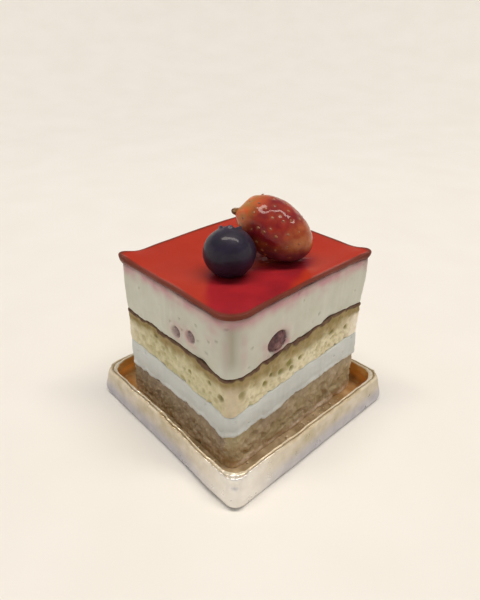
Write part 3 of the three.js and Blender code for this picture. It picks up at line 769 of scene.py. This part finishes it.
def sponge_mesh():
    """Its cut side: pores of several sizes, closed where cream was wiped over them, below the skin."""
    points, up, down = layer_grid("sponge_layer", sponge_join, upper_join, SPONGE_ROWS)
    crumbly = 1 - 0.85 * near(points[..., :2], FRONT_EDGE, WIPED_WIDTH)
    open_crumb = crumbly * (0.3 + 0.7 * ramp(down, 0.5 * SKIN_DEPTH, 1.5 * SKIN_DEPTH))
    pits = sum(share * measured(pore, points / spacing + shift) for spacing, share, shift in PORES)
    pits *= open_crumb
    large = open_pores(points)
    patches = wavy(points / 3.2)
    right_side = ramp(points[..., 1], -28, -22)
    toasted_depth = TOASTED_DEPTHS[0] + (TOASTED_DEPTHS[1] - TOASTED_DEPTHS[0]) * right_side
    rough = crumbly * (0.15 * patches + 0.2 * wavy(points / 1.3))
    baked = 0.25 * near(down[..., None], 0.5, 0.7)
    relief = SPONGE_STANDS_OUT + rough + baked - PORE_DEPTH * pits - OPEN_PORE_DEPTH * large
    relief -= edges_rolled(up, down, SPONGE_EDGES)
    toasted = ramp(down + 2.4 * patches, toasted_depth, 0.3 * toasted_depth)
    spot = near(points, TOASTED_SPOT, TOASTED_SIZE) * (0.9 + patches)
    paler_patch = max_of(much * near(points[..., :2], (x, y), DRY_WIDTH) for x, y, much in DRY_EDGES)
    thick = SKIN_DEPTH + max_of(
        extra * near(points[..., :2], (FRONT_EDGE[0], y), width) for y, _, width, extra in SKIN_LUMPS
    )
    mottle = right_side * open_crumb * ramp(wavy(points / 1.5 + 3), 0.05, 0.4)
    marks = {
        # Painted shade: the left side is painted darker and greener.
        "shaded_left_side": 1 - right_side,
        # Painted shade: the pores, small and large, are painted darker olive; the right side is also
        # mottled.
        "pit": np.clip(pits + 0.5 * mottle, 0, 1),
        "open_pore": large,
        "paler_patch": paler_patch * ramp(down + patches, 2.5, 5),
        "toasted": np.clip(np.maximum(toasted, spot), 0, 1),
        "smear": (1 - crumbly) * ramp(down, 1.5, 4),
        "skin": ramp((down + 0.9 * wavy(points / 1.7)) / thick, 1, 0.4),
    }
    return layer_mesh("sponge_sheet", pushed(points, relief), marks)


def sponge():
    """Egg sponge, baked and sliced: matt pale yellow, darker and greener on the left side as painted
    shade, olive in its pores as painted shade, and toasted brown and olive towards a dark skin about a
    millimetre thick."""
    material = new_material(
        "baked_egg_sponge", Roughness=0.8, IOR=1.4,
        Subsurface_Weight=0.15, Subsurface_Radius=(1.0, 0.7, 0.4), Subsurface_Scale=0.8 * MM,
    )
    plain = mottled(material, 4.5, 4, (0.3, "#dbd0aa"), (0.7, "#efe6c8"))
    tints = (
        # Painted shade on the left side
        ("shaded_left_side", 0.85, "#c0ba8e", "#d8d0ac"),
        # Painted shade in the pores
        ("pit", 0.75, "#a39560", "#b0a26c"),
        ("toasted", 0.95, "#8c7a47", "#a08a5c"),
        ("paler_patch", 0.95, "#f2e4cc", "#faf0de"),
        # Painted shade in the large open pores
        ("open_pore", 0.95, "#8d8543", "#97904c"),
        ("smear", 0.9, "#d8c5ab", "#dfcdb4"),
        ("skin", 1.0, "#5e4333", "#6f5642"),
    )
    colour = tinted(material, plain, grain(material, 2.6, 3), tints, (0.38, 0.62))
    return finished(material, colour, grain(material, 0.6, 4), strength=0.6, depth=0.25)


dress(sponge_mesh(), "sponge", sponge(), "sponge_layer")

# ------------------------------------------------------------------ upper cream
# The same cream cheese mixture, with berries folded in and the jelly's syrup soaked into its top. The
# front edge is worn round, with an upright furrow that the cutter left.

glaze_join, _ = layer_join("upper_cream", "jelly_glaze", 7.0, (0.22, 3.4), (0.1, 1.2))

# Syrup that has soaked in from above and juice round the berries: place, width along the side, height of
# the spot, and strength.
STAINS = (
    (18.8, -28.3, 52.3, 2.4, 3.2, 0.85),
    (17.6, -28.3, 46.0, 2.2, 2.4, 0.3),
    (22.2, -26.9, 45.0, 1.1, 9.0, 0.35),
    (25.6, -23.4, 45.0, 1.3, 9.0, 0.35),
    (-21.0, -28.3, 51.5, 6.0, 2.0, 0.5),
    (-8.0, -28.3, 52.0, 6.5, 2.0, 0.45),
    (2.0, -28.3, 49.8, 3.2, 1.8, 0.3),
    (25.8, -19.0, 52.5, 4.2, 2.0, 0.5),
    (25.8, -6.0, 52.4, 4.0, 2.2, 0.5),
    (25.8, 6.0, 51.8, 4.6, 2.6, 0.45),
    (25.8, 21.0, 52.5, 6.0, 2.0, 0.45),
    (2.4, -28.3, 41.5, 3.1, 3.1, 0.75),
    (8.4, -28.3, 42.6, 3.3, 3.3, 0.75),
    (25.8, -10.6, 41.9, 6.0, 5.1, 0.6),
    (25.8, -15.4, 42.2, 1.6, 3.4, 0.7),
    (25.8, -10.6, 37.6, 5.0, 1.4, 0.95),
    (25.8, -6.6, 40.0, 1.5, 1.8, 0.9),
)
UPPER_CREAM_ROWS = 72
FURROW_PLACE = (23.7, -26.2)
FURROW_WIDTH = 1.5
FURROW_DEPTH = 0.5
UPPER_CREAM_EDGES = (0.8, 0.3)
POCKET_GAP = 0.6  # between a berry and the rim of its pocket
POCKET_RIM = 0.25  # how far the rim stands out
POCKET_DROP = 0.8  # how far the cream sinks away behind the berry


def stains(points, down):
    """How strongly syrup has coloured the cream, from 0 to 1."""
    blotches = 0.5 + wavy(points / 3.3)
    total = ramp(down, 5.0, 0.6) * (0.5 + 0.7 * blotches)
    for x, y, z, width, height, strength in STAINS:
        spot = near(points, (x, y, z), (width, width, height))
        total = np.maximum(total, strength * np.clip(blotches + 0.35, 0, 1) * spot)
    hidden = np.maximum(ramp(-points[..., 0], 20, 26), ramp(points[..., 1], 24, 29))
    runs = 0.5 * hidden * ramp(wavy(points / (6, 6, 4) + 3), 0.1, 0.5) * ramp(down, 7, 1)
    return np.clip(np.maximum(total, runs), 0, 1)


def upper_cream_mesh():
    """Its cut side, with the furrow and a pocket round each berry, and where syrup has soaked in."""
    points, up, down = layer_grid("upper_cream", upper_join, glaze_join, UPPER_CREAM_ROWS)
    furrow = near(points[..., :2], FURROW_PLACE, FURROW_WIDTH) * ramp(up, 1, 6)
    relief = cream_relief(points) - FURROW_DEPTH * furrow - edges_rolled(up, down, UPPER_CREAM_EDGES)
    for berry in ("side_berry", "face_berry_left", "face_berry_right"):
        low, high = (np.array(corner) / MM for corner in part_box(berry))
        away = np.linalg.norm((points - (low + high) / 2) / ((high - low) / 2 + POCKET_GAP), axis=-1)
        relief += POCKET_RIM * near(away[..., None], 1.2, 0.2) - POCKET_DROP * ramp(away, 1.1, 0.9)
    # Painted shade in the furrow, and a painted shadow just under the jelly, besides the syrup stains.
    marks = {"stain": stains(points, down), "shade_under_jelly": ramp(down, 1.5, 0.4), "furrow": furrow}
    return layer_mesh("upper_cream_filling", pushed(points, relief), marks)


upper_cream = cream("set_cream_cheese_upper", "#c5c5b4", "#cdcdbf", "#bf8f94")
dress(upper_cream_mesh(), "cream", upper_cream, "upper_cream")

# ------------------------------------------------------------------ berries in the cream
# Soft dark berries folded into the cream. The knife went past them, so each shows a flattened, wrinkled
# face with a paler, redder middle.

BERRY_STEPS = 96
WRINKLE_DEPTH = 0.1  # as a share of the berry's radius


def reach_of(surface, middle, directions):
    """How far a solid reaches from its middle in each direction."""
    return measured(lambda d: surface.ray_cast(middle, d)[3] or 0.0, directions)


def set_berry_mesh(node):
    """A berry's wrinkled skin, wrapped on its solid."""
    low, high = (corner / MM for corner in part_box(node))
    middle = (low + high) / 2
    directions = ball_directions(BERRY_STEPS // 2, BERRY_STEPS)
    reach = even_out(reach_of(surface_of(node), middle, directions), 2, 1)
    size = (high - low).length / 4
    wrinkles = abs(wavy(directions * 2.6 + middle[0]))
    reach = reach * (1 - WRINKLE_DEPTH * ramp(wrinkles, 0.12, 0)) + 0.03 * size * wavy(directions * 6)
    return skin(node + "_flesh", directions * reach[..., None] + np.array(middle))


def set_berry(name, tones):
    """A soft dark berry, cut past by the knife: moist purple-brown, paler where cream lies over it."""
    material = new_material(
        name, Roughness=0.4, IOR=1.4,
        Subsurface_Weight=0.2, Subsurface_Radius=(1.0, 0.3, 0.3), Subsurface_Scale=1.0 * MM,
    )
    colour = mottled(material, 2.6, 3, *zip((0.35, 0.52, 0.7), tones))
    return finished(material, colour, grain(material, 0.8, 3), strength=0.4, depth=0.25)


cut_berry = set_berry("soft_berry_flesh_cut", ("#4d3036", "#6f4b4c", "#8a6260"))
smeared_berry = set_berry("soft_berry_flesh_smeared", ("#7d6465", "#93807e", "#ab9b95"))
dress(set_berry_mesh("side_berry"), "set_berry", cut_berry, "side_berry")
dress(set_berry_mesh("face_berry_left"), "set_berry", smeared_berry, "face_berry_left")
dress(set_berry_mesh("face_berry_right"), "set_berry", smeared_berry, "face_berry_right")

# ------------------------------------------------------------------ jelly glaze
# Red fruit syrup set with gelatine, poured on in the ring and cut through with the cake. It has a
# rounded shoulder, climbs a little where it meets the fruit, and clings to the corners in raised ears.

JELLY_SIDE_ROWS = 16
JELLY_SHOULDER = 0.55  # radius
JELLY_BULGE = 0.3  # of its side, which starts a third of that inside the solid's
JELLY_RING_GAP = 0.5  # between the rings of the mesh
JELLY_GRID_GAP = 0.5  # of the square grid that its height is taken on
FRUIT_CLEARANCE = 1.3  # nearer to the fruit than this, the height of its solid isn't used
HEALING_ROUNDS = 60
HEALING_SPREAD = 3  # steps of the grid
LEVEL_SPREAD = 6  # steps of the grid that its height is evened out by
EDGE_WIDTH = 1.1  # of the rim that keeps the height of the cut side
DARK_WIDTH = 1.0  # how far in the brown of the cut edge shows on top
CLIMB = 0.35  # how far it climbs where it meets the fruit
CLIMB_WIDTH = 1.1

# Painted shade and reflection: the jelly is painted crimson in a wedge from the fruit to the front edge,
# as painted shade, and lighter orange-red round it, as painted reflection. A point on each of the
# wedge's borders, and the way inwards from there.
SHADED_WEDGE_BORDERS = (
    ((9.2, -22.6), (0.63, 0.78)),
    ((21.0, 3.0), (-0.91, -0.41)),
    ((1.0, -13.0), (0.9, -0.45)),
)

jelly_edge, _ = layer_join("jelly_glaze", None, 7.0)


def heal(values, kept):
    """Replaces the values that aren't kept by what their neighbours say."""
    values = np.where(kept, values, values[kept].mean())
    for _ in range(HEALING_ROUNDS):
        values = np.where(kept, values, even_out(values, HEALING_SPREAD, HEALING_SPREAD))
    return values


def from_fruit(places):
    """How far each place is from the fruit on the jelly."""
    fruit = [surface_of(name) for name in ("blueberry", "strawberry")]
    return measured(lambda p: min(tree.find_nearest(p)[3] for tree in fruit), places)


def jelly_level(places):
    """How high the jelly stands at some places: as its solid does on a square grid, healed under the
    fruit and evened out. The grid is mirrored so that it runs round."""
    size = np.array((CAKE_WIDTH, CAKE_DEPTH))
    counts = np.round(size / JELLY_GRID_GAP).astype(int) + 1
    axes = [np.linspace(-0.5, 0.5, n) * across + at for n, across, at in zip(counts, size, CAKE_CENTRE)]
    flat = np.full(counts, places[..., 2].mean())
    grid = np.stack([*np.meshgrid(*axes, indexing="ij"), flat], axis=-1)
    level = heights_on(surface_of("jelly_glaze"), grid)
    kept = (level > 0) & (from_fruit(grid) > FRUIT_CLEARANCE)
    level, kept = (np.concatenate([half, half[:, ::-1]], axis=1) for half in (level, kept))
    level = even_out(heal(level, kept), LEVEL_SPREAD, LEVEL_SPREAD)
    steps = (places[..., :2] - grid[0, 0, :2]) / (size / (counts - 1))
    cell = np.clip(np.floor(steps).astype(int), 0, counts - 2)
    (i, j), (u, v) = np.moveaxis(cell, -1, 0), np.moveaxis(steps - cell, -1, 0)
    near_row = level[i, j] * (1 - v) + level[i, j + 1] * v
    far_row = level[i + 1, j] * (1 - v) + level[i + 1, j + 1] * v
    return near_row * (1 - u) + far_row * u


def jelly_mesh():
    """Its cut side with a rounded shoulder, then rings over its top to the middle."""
    points, up, down = layer_grid("jelly_glaze", glaze_join, jelly_edge, JELLY_SIDE_ROWS, bunched=True)
    bulge = JELLY_BULGE * np.sqrt(np.clip(up, 0, 1)) - JELLY_BULGE / 3
    side = pushed(points, bulge - rolled(down, JELLY_SHOULDER))
    middle = np.array((*CAKE_CENTRE, 0))
    count = round(CAKE_WIDTH / 2 / JELLY_RING_GAP)
    rings = np.array([middle + (side[-1] - middle) * (f, f, 1) for f in 1 - np.arange(1, count) / count])
    level = jelly_level(rings)
    from_edge = (np.arange(1, count) * JELLY_RING_GAP)[:, None]
    level = level + (side[-1][:, 2] - level) * ramp(from_edge, EDGE_WIDTH, 0)
    level += 0.03 * wavy(rings / 6) + CLIMB * np.exp(-from_fruit(rings) / CLIMB_WIDTH)
    rings[..., 2] = level
    every = np.concatenate([cap(side[0], CAP_SHRINKS, -LAP), side, rings])
    edge = np.ones((len(every), 1))
    edge[-len(rings):] = ramp(from_edge, DARK_WIDTH, 0.2 * DARK_WIDTH)
    # Painted shade: the wedge in front of the fruit is painted crimson.
    inside = [(every[..., :2] - place) @ np.array(inwards) for place, inwards in SHADED_WEDGE_BORDERS]
    shaded_wedge = ramp(np.min(inside, axis=0) + 1.5 * wavy(every / 7), -1.5, 1.8)
    return skin("jelly_glaze_sheet", every, {"shaded_wedge": shaded_wedge, "edge": edge})


def jelly():
    """Gelatine-set red fruit syrup, poured and left level: a soft gloss over orange-red that is lighter
    as a painted reflection, crimson in a wedge in front of the fruit as painted shade, and brown at its
    cut edge, where the light that soaks in doesn't come back."""
    material = new_material(
        "set_red_fruit_jelly", Roughness=0.22, IOR=1.35, Specular_IOR_Level=0.1,
        Subsurface_Weight=0.15, Subsurface_Radius=(1.0, 0.12, 0.06), Subsurface_Scale=1.0 * MM,
        Coat_Weight=0.08, Coat_Roughness=0.06, Coat_IOR=1.35,
    )
    # Orange-red lightened as a painted reflection; crimson in the wedge as painted shade.
    orange_red_lit = mottled(material, 12, 3, (0.3, "#aa3320"), (0.7, "#b23622"))
    tints = (("shaded_wedge", 1.0, "#8d2128", "#a4252c"), ("edge", 1.0, "#6c3629", "#763e33"))
    colour = tinted(material, orange_red_lit, grain(material, 9), tints)
    sockets = ("Normal", "Coat Normal")
    return finished(material, colour, grain(material, 3.5), strength=0.08, depth=0.3, bumped=sockets)


dress(jelly_mesh(), "jelly", jelly(), "jelly_glaze")

# ------------------------------------------------------------------ blueberry
# One large blueberry, crown up, set into the jelly. Under the clear glaze its skin is nearly black, with
# a purple bloom round the crown.

BLUEBERRY_RADIUS = 7.75
BLUEBERRY_TURN = Euler((-0.35, -0.3, 0.4), "ZYX")  # its crown leans towards the back
BLUEBERRY_FLATNESS = 0.96
CROWN_ANGLE = math.radians(21)  # from the fruit's pole to the crown's crest
CROWN_SPREAD = math.radians(5)
CROWN_LOBES = 5
CROWN_HEIGHTS = (0.02, 0.105)  # between its lobes and at their tips, as shares of the radius
CROWN_PIT = 0.15  # depth inside it, as a share of the radius


def fitted_ball(node):
    """The middle of the ball that best fits a node's points."""
    points = np.array([vertex.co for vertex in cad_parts[node].data.vertices]) / MM
    sums = np.column_stack([2 * points, np.ones(len(points))])
    return np.linalg.lstsq(sums, (points**2).sum(axis=1), rcond=None)[0][:3]


def blueberry_mesh():
    """A slightly lumpy ball with a ragged, lobed crown round a shallow pit."""
    directions = ball_directions(120, 160)
    angle = np.arccos(np.clip(directions[..., 2], -1, 1))
    around = np.arctan2(directions[..., 1], directions[..., 0])
    lobes = np.interp(np.cos(CROWN_LOBES * around), (-1, 1), CROWN_HEIGHTS)
    crown = (lobes + 0.02 * wavy(directions * 9)) * near(angle[..., None], CROWN_ANGLE, CROWN_SPREAD)
    pit = CROWN_PIT * ramp(angle, CROWN_ANGLE, 0.5 * CROWN_ANGLE)
    lumps = 0.012 * wavy(directions * 2) + 0.004 * wavy(directions * 7)
    reach = BLUEBERRY_RADIUS * (1 + crown - pit + lumps)
    points = directions * reach[..., None] * (1, 1, BLUEBERRY_FLATNESS)
    points = points @ np.array(BLUEBERRY_TURN.to_matrix()).T + fitted_ball("blueberry")
    return skin("blueberry_skin", points, {"bloom": ramp(angle, math.radians(75), math.radians(15))})


def blueberry_skin():
    """Blueberry under clear glaze: nearly black blue with a purple-grey waxy bloom and a wet shine."""
    material = new_material(
        "glazed_blueberry_skin", Roughness=0.5, IOR=1.45, Specular_IOR_Level=0.25,
        Coat_Weight=0.3, Coat_Roughness=0.05, Coat_IOR=1.4,
    )
    bare = mottled(material, 5, 4, (0.3, "#17131f"), (0.7, "#282035"))
    waxy = mottled(material, 2.4, 4, (0.3, "#2b2430"), (0.7, "#5a4d5c"))
    bloom = add(material, "Attribute", output="Fac", attribute_name="bloom")
    worn = add(material, "Math", {0: bloom, 1: grain(material, 3.3, 3)}, operation="MULTIPLY")
    colour = add(material, "Mix", {0: worn, 6: bare, 7: waxy}, output=2, data_type="RGBA")
    return finished(material, colour, grain(material, 0.7, 3), strength=0.25, depth=0.15)


dress(blueberry_mesh(), "blueberry_skin", blueberry_skin(), "blueberry")

# ------------------------------------------------------------------ strawberry
# A whole ripe strawberry laid on its side behind the blueberry, brushed thickly with clear glaze. Its
# seeds sit in dimples, and one dried sepal is left at its leaf end.

STRAWBERRY_MIDDLE = Vector((6, 7.2, 64.8))
STRAWBERRY_HEADING = math.radians(197)  # in plan, the way its leaf end points
STRAWBERRY_TILT = math.radians(22)  # that its leaf end is lifted
STRAWBERRY_HALF_LENGTH = 13.0
SEED_COUNT = 84
SEED_RANGE = (0.9, -0.94)  # from the leaf end to the tip, as the height on a ball of radius 1
SEED_SIZE = (0.7, 1.1, 0.4)
SEED_SINK = 0.16
SEED_DISORDER = 0.09
DIMPLE_WIDTH = 0.7
DIMPLE_DEPTH = 0.14
SWELLING = 0.05  # of the flesh between the dimples
SEPAL_SIZE = (2.4, 1.7, 4.2)
SEPAL_PLACE = np.array((-0.2, 4.0, 12.1))  # in the fruit's own frame, where its leaf end is at +Z
SEPAL_BEND = -0.55
SEPAL_RIDGES = 7

strawberry_turn = np.array(Euler((0, RIGHT_ANGLE - STRAWBERRY_TILT, STRAWBERRY_HEADING)).to_matrix())


def laid(points):
    """Points of the fruit's own frame, with the fruit laid on the cake."""
    return points @ strawberry_turn.T + np.array(STRAWBERRY_MIDDLE)


def strawberry_reach(directions):
    """How far the fruit's solid reaches in directions of its own frame."""
    return reach_of(surface_of("strawberry"), STRAWBERRY_MIDDLE, directions @ strawberry_turn.T)


def seed_directions():
    """Where the seeds sit: each a golden angle on from the last, from the leaf end to the tip, and a
    little astray."""
    draw = np.random.default_rng(11)
    index = np.arange(SEED_COUNT)
    height = SEED_RANGE[0] + (SEED_RANGE[1] - SEED_RANGE[0]) * (index + 0.5) / SEED_COUNT
    around = index * math.pi * (3 - math.sqrt(5))
    flat = np.sqrt(1 - height**2)
    even = np.column_stack([flat * np.cos(around), flat * np.sin(around), height])
    astray = even + draw.uniform(-SEED_DISORDER, SEED_DISORDER, even.shape)
    return astray / np.linalg.norm(astray, axis=1)[:, None]


def seeds_on_skin():
    """Each seed's place on the fruit's skin and its outward direction, in the fruit's own frame."""
    outward = seed_directions()
    reach = np.minimum(strawberry_reach(outward), STRAWBERRY_HALF_LENGTH)
    return outward * reach[:, None], outward


def strawberry_mesh(seeds):
    """The fruit: the skin of its solid, dimpled round every seed and swelling between them."""
    directions = ball_directions(150, 230)
    points = directions * even_out(strawberry_reach(directions), 8, 4)[..., None]
    away = np.min([np.linalg.norm(points - seed, axis=-1) for seed in seeds], axis=0)
    dimple = np.exp(-((away / DIMPLE_WIDTH) ** 2))
    swell = SWELLING * (ramp(away, 0.8, 2.2) + wavy(points / 6))
    points = laid(points + directions * (swell - DIMPLE_DEPTH * dimple)[..., None])
    height = points[..., 2] + 2.5 * wavy(points / 5)
    marks = {
        "dimple": dimple,
        "leaf_end": ramp(directions[..., 2], 0.4, 0.9),
        "tip": ramp(-directions[..., 2], 0.45, 0.95),
        "top": ramp(height, 66.5, 71.5),
        "low": ramp(height, 65.0, 61.0),
        # Painted shadow: darkest underneath, where the fruit lies on the jelly.
        "under": ramp(points[..., 2], 63.5, 59.5),
    }
    return skin("strawberry_flesh", points, marks)


def seeds_mesh(seeds, outward):
    """All the seeds as one piece: small teardrops that point to the leaf end."""
    drop = ball_directions(6, 10)
    drop = drop * np.array(SEED_SIZE) / 2 * (1 - 0.3 * drop[..., 1:2])
    placed = []
    for seed, out in zip(seeds, outward):
        along = np.array((0, 0, 1)) - out[2] * out
        along /= np.linalg.norm(along)
        across = np.cross(along, out)
        placed.append(laid(seed - SEED_SINK * out + drop @ np.array([across, along, out])))
    return joined("strawberry_seeds", placed)


def sepal_mesh():
    """The dried sepal: a blunt ridged point, bent outwards."""
    directions = ball_directions(40, 48)
    around = np.arctan2(directions[..., 1], directions[..., 0])
    ridges = 1 + 0.09 * np.cos(SEPAL_RIDGES * around) + 0.08 * wavy(directions * 4)
    taper = 1 - 0.3 * directions[..., 2:]
    points = directions * ridges[..., None] * taper * (np.array(SEPAL_SIZE) / 2) / (1, 1, taper.mean())
    points = points @ np.array(Matrix.Rotation(SEPAL_BEND, 3, "X")).T + SEPAL_PLACE
    return skin("strawberry_sepal", laid(points))


def strawberry_flesh():
    """Ripe strawberry under thick clear glaze: orange-red over deeper red, amber at both ends, brown
    lower down and darkest underneath as a painted shadow, with a wet mirror gloss over all of it."""
    material = new_material(
        "glazed_strawberry_flesh", Roughness=0.5, IOR=1.4, Specular_IOR_Level=0.15,
        Subsurface_Weight=0.3, Subsurface_Radius=(1.0, 0.25, 0.1), Subsurface_Scale=2.0 * MM,
        Coat_Weight=0.75, Coat_Roughness=0.04, Coat_IOR=1.35,
    )
    ripe = mottled(material, 6, 3, (0.35, "#6e0e18"), (0.5, "#80141b"), (0.65, "#9c291d"))
    tints = (
        ("top", 0.85, "#80201a", "#9a3520"),
        ("low", 0.7, "#6e3a1e", "#a4582c"),
        ("tip", 0.85, "#9c4a22", "#b8703c"),
        ("leaf_end", 0.9, "#b07a38", "#d66a33"),
        # Painted shadow underneath
        ("under", 0.95, "#5a2430", "#6c2e38"),
        ("dimple", 0.3, "#b8642e"),
    )
    colour = tinted(material, ripe, grain(material, 3, 3), tints, (0.38, 0.62))
    return finished(material, colour, grain(material, 1.2, 3), strength=0.3, depth=0.2)


def seed_husk():
    """Strawberry seeds: hard and smooth, straw yellow to brown."""
    material = new_material("strawberry_seed_husk", Roughness=0.35, Coat_Weight=0.8, Coat_Roughness=0.05)
    return finished(material, mottled(material, 2, 2, (0.35, "#7c3c20"), (0.65, "#a56a34")))


def dried_sepal():
    """A dried strawberry sepal: dull olive, browned at its ridges."""
    material = new_material("dried_sepal", Roughness=0.55, Coat_Weight=0.5, Coat_Roughness=0.15)
    return finished(material, mottled(material, 1.4, 3, (0.35, "#5a3420"), (0.65, "#9a7138")))


seeds, seeds_outward = seeds_on_skin()
dress(strawberry_mesh(seeds), "strawberry_flesh", strawberry_flesh(), "strawberry")
dress(seeds_mesh(seeds, seeds_outward), "strawberry_flesh", seed_husk())
dress(sepal_mesh(), "strawberry_flesh", dried_sepal())

# ------------------------------------------------------------------ floor, light and camera
# A plain pale floor that curves up far off on every side, a long warm soft light overhead, a dim cooler
# sky all round that fills the shadows, and the camera where the photograph was taken from.

FLOOR_FLAT = 450.0  # radius of its flat middle
FLOOR_CURVE = 700.0  # radius of the curve
FLOOR_CURVED = 660.0  # how far out the curve is followed
LIGHT_PLACE = Vector((70, 70, 1600)) * MM
LIGHT_TARGET = Vector((0, 0, 40)) * MM
LIGHT_WIDTH = 300
LIGHT_LENGTH = 2100  # in the upright plane through the light and its target
LIGHT_POWER = 26.5  # watts
SKY_STRENGTH = 0.3
CAMERA_PLACE = Vector((101.74, -95.85, 122.47)) * MM
CAMERA_AZIMUTH = math.radians(47.1)
CAMERA_ELEVATION = math.radians(30.6)
CAMERA_ROLL = math.radians(0.5)
LENS = 29.46  # on Blender's 36 mm sensor


def floor_mesh():
    """A shallow round bowl: flat round the object, then curving up."""
    curved = np.linspace(FLOOR_FLAT, 3 * FLOOR_FLAT, 40)[1:]
    reaches = np.concatenate([np.linspace(0.02, 1, 12) * FLOOR_FLAT, curved])
    around = np.linspace(0, 2 * math.pi, 96, endpoint=False)
    risen = np.clip(reaches - FLOOR_FLAT, 0, FLOOR_CURVED)
    heights = FLOOR_CURVE - np.sqrt(FLOOR_CURVE**2 - risen**2)
    flat = np.stack([np.outer(reaches, np.cos(around)), np.outer(reaches, np.sin(around))], axis=-1)
    points = np.dstack([flat, np.broadcast_to(heights[:, None], flat.shape[:2])]).reshape(-1, 3)
    place = np.arange(len(points)).reshape(len(reaches), -1)
    after = np.roll(place, -1, axis=1)
    faces = np.stack([place[:-1], place[1:], after[1:], after[:-1]], axis=-1).reshape(-1, 4).tolist()
    return new_piece("floor", points, faces + [place[0].tolist()])


def matt_card():
    """Matt painted card: plain warm white, faintly mottled."""
    material = new_material("matt_white_card", Roughness=0.9, Specular_IOR_Level=0.2)
    return finished(material, mottled(material, 40, 2, (0.3, "#ebe8e0"), (0.7, "#eeebe4")))


floor = floor_mesh()
floor.data.materials.append(matt_card())

light = bpy.data.lights.new("overhead", "AREA")
light.shape = "RECTANGLE"
light.size = LIGHT_WIDTH * MM
light.size_y = LIGHT_LENGTH * MM
light.energy = LIGHT_POWER
light.color = linear("#fff5e8")[:3]
lamp = bpy.data.objects.new("overhead", light)
lamp.location = LIGHT_PLACE
lamp.rotation_euler = (LIGHT_PLACE - LIGHT_TARGET).to_track_quat("Z", "Y").to_euler()
bpy.context.scene.collection.objects.link(lamp)

world = bpy.data.worlds.new("studio")
world.use_nodes = True
sky = world.node_tree.nodes["Background"].inputs
sky["Color"].default_value = linear("#cfdcf5")
sky["Strength"].default_value = SKY_STRENGTH
bpy.context.scene.world = world
bpy.context.scene.view_settings.view_transform = "Standard"

back = Vector((
    math.sin(CAMERA_AZIMUTH) * math.cos(CAMERA_ELEVATION),
    -math.cos(CAMERA_AZIMUTH) * math.cos(CAMERA_ELEVATION),
    math.sin(CAMERA_ELEVATION),
))
level_right = Vector((math.cos(CAMERA_AZIMUTH), math.sin(CAMERA_AZIMUTH), 0))
right = Matrix.Rotation(CAMERA_ROLL, 3, back) @ level_right
camera_data = bpy.data.cameras.new("camera")
camera_data.lens = LENS
camera_data.clip_start = 0.01
camera = bpy.data.objects.new("camera", camera_data)
camera_turn = Matrix((right, back.cross(right), back)).transposed()
camera.matrix_world = Matrix.Translation(CAMERA_PLACE) @ camera_turn.to_4x4()
bpy.context.scene.collection.objects.link(camera)
bpy.context.scene.camera = camera
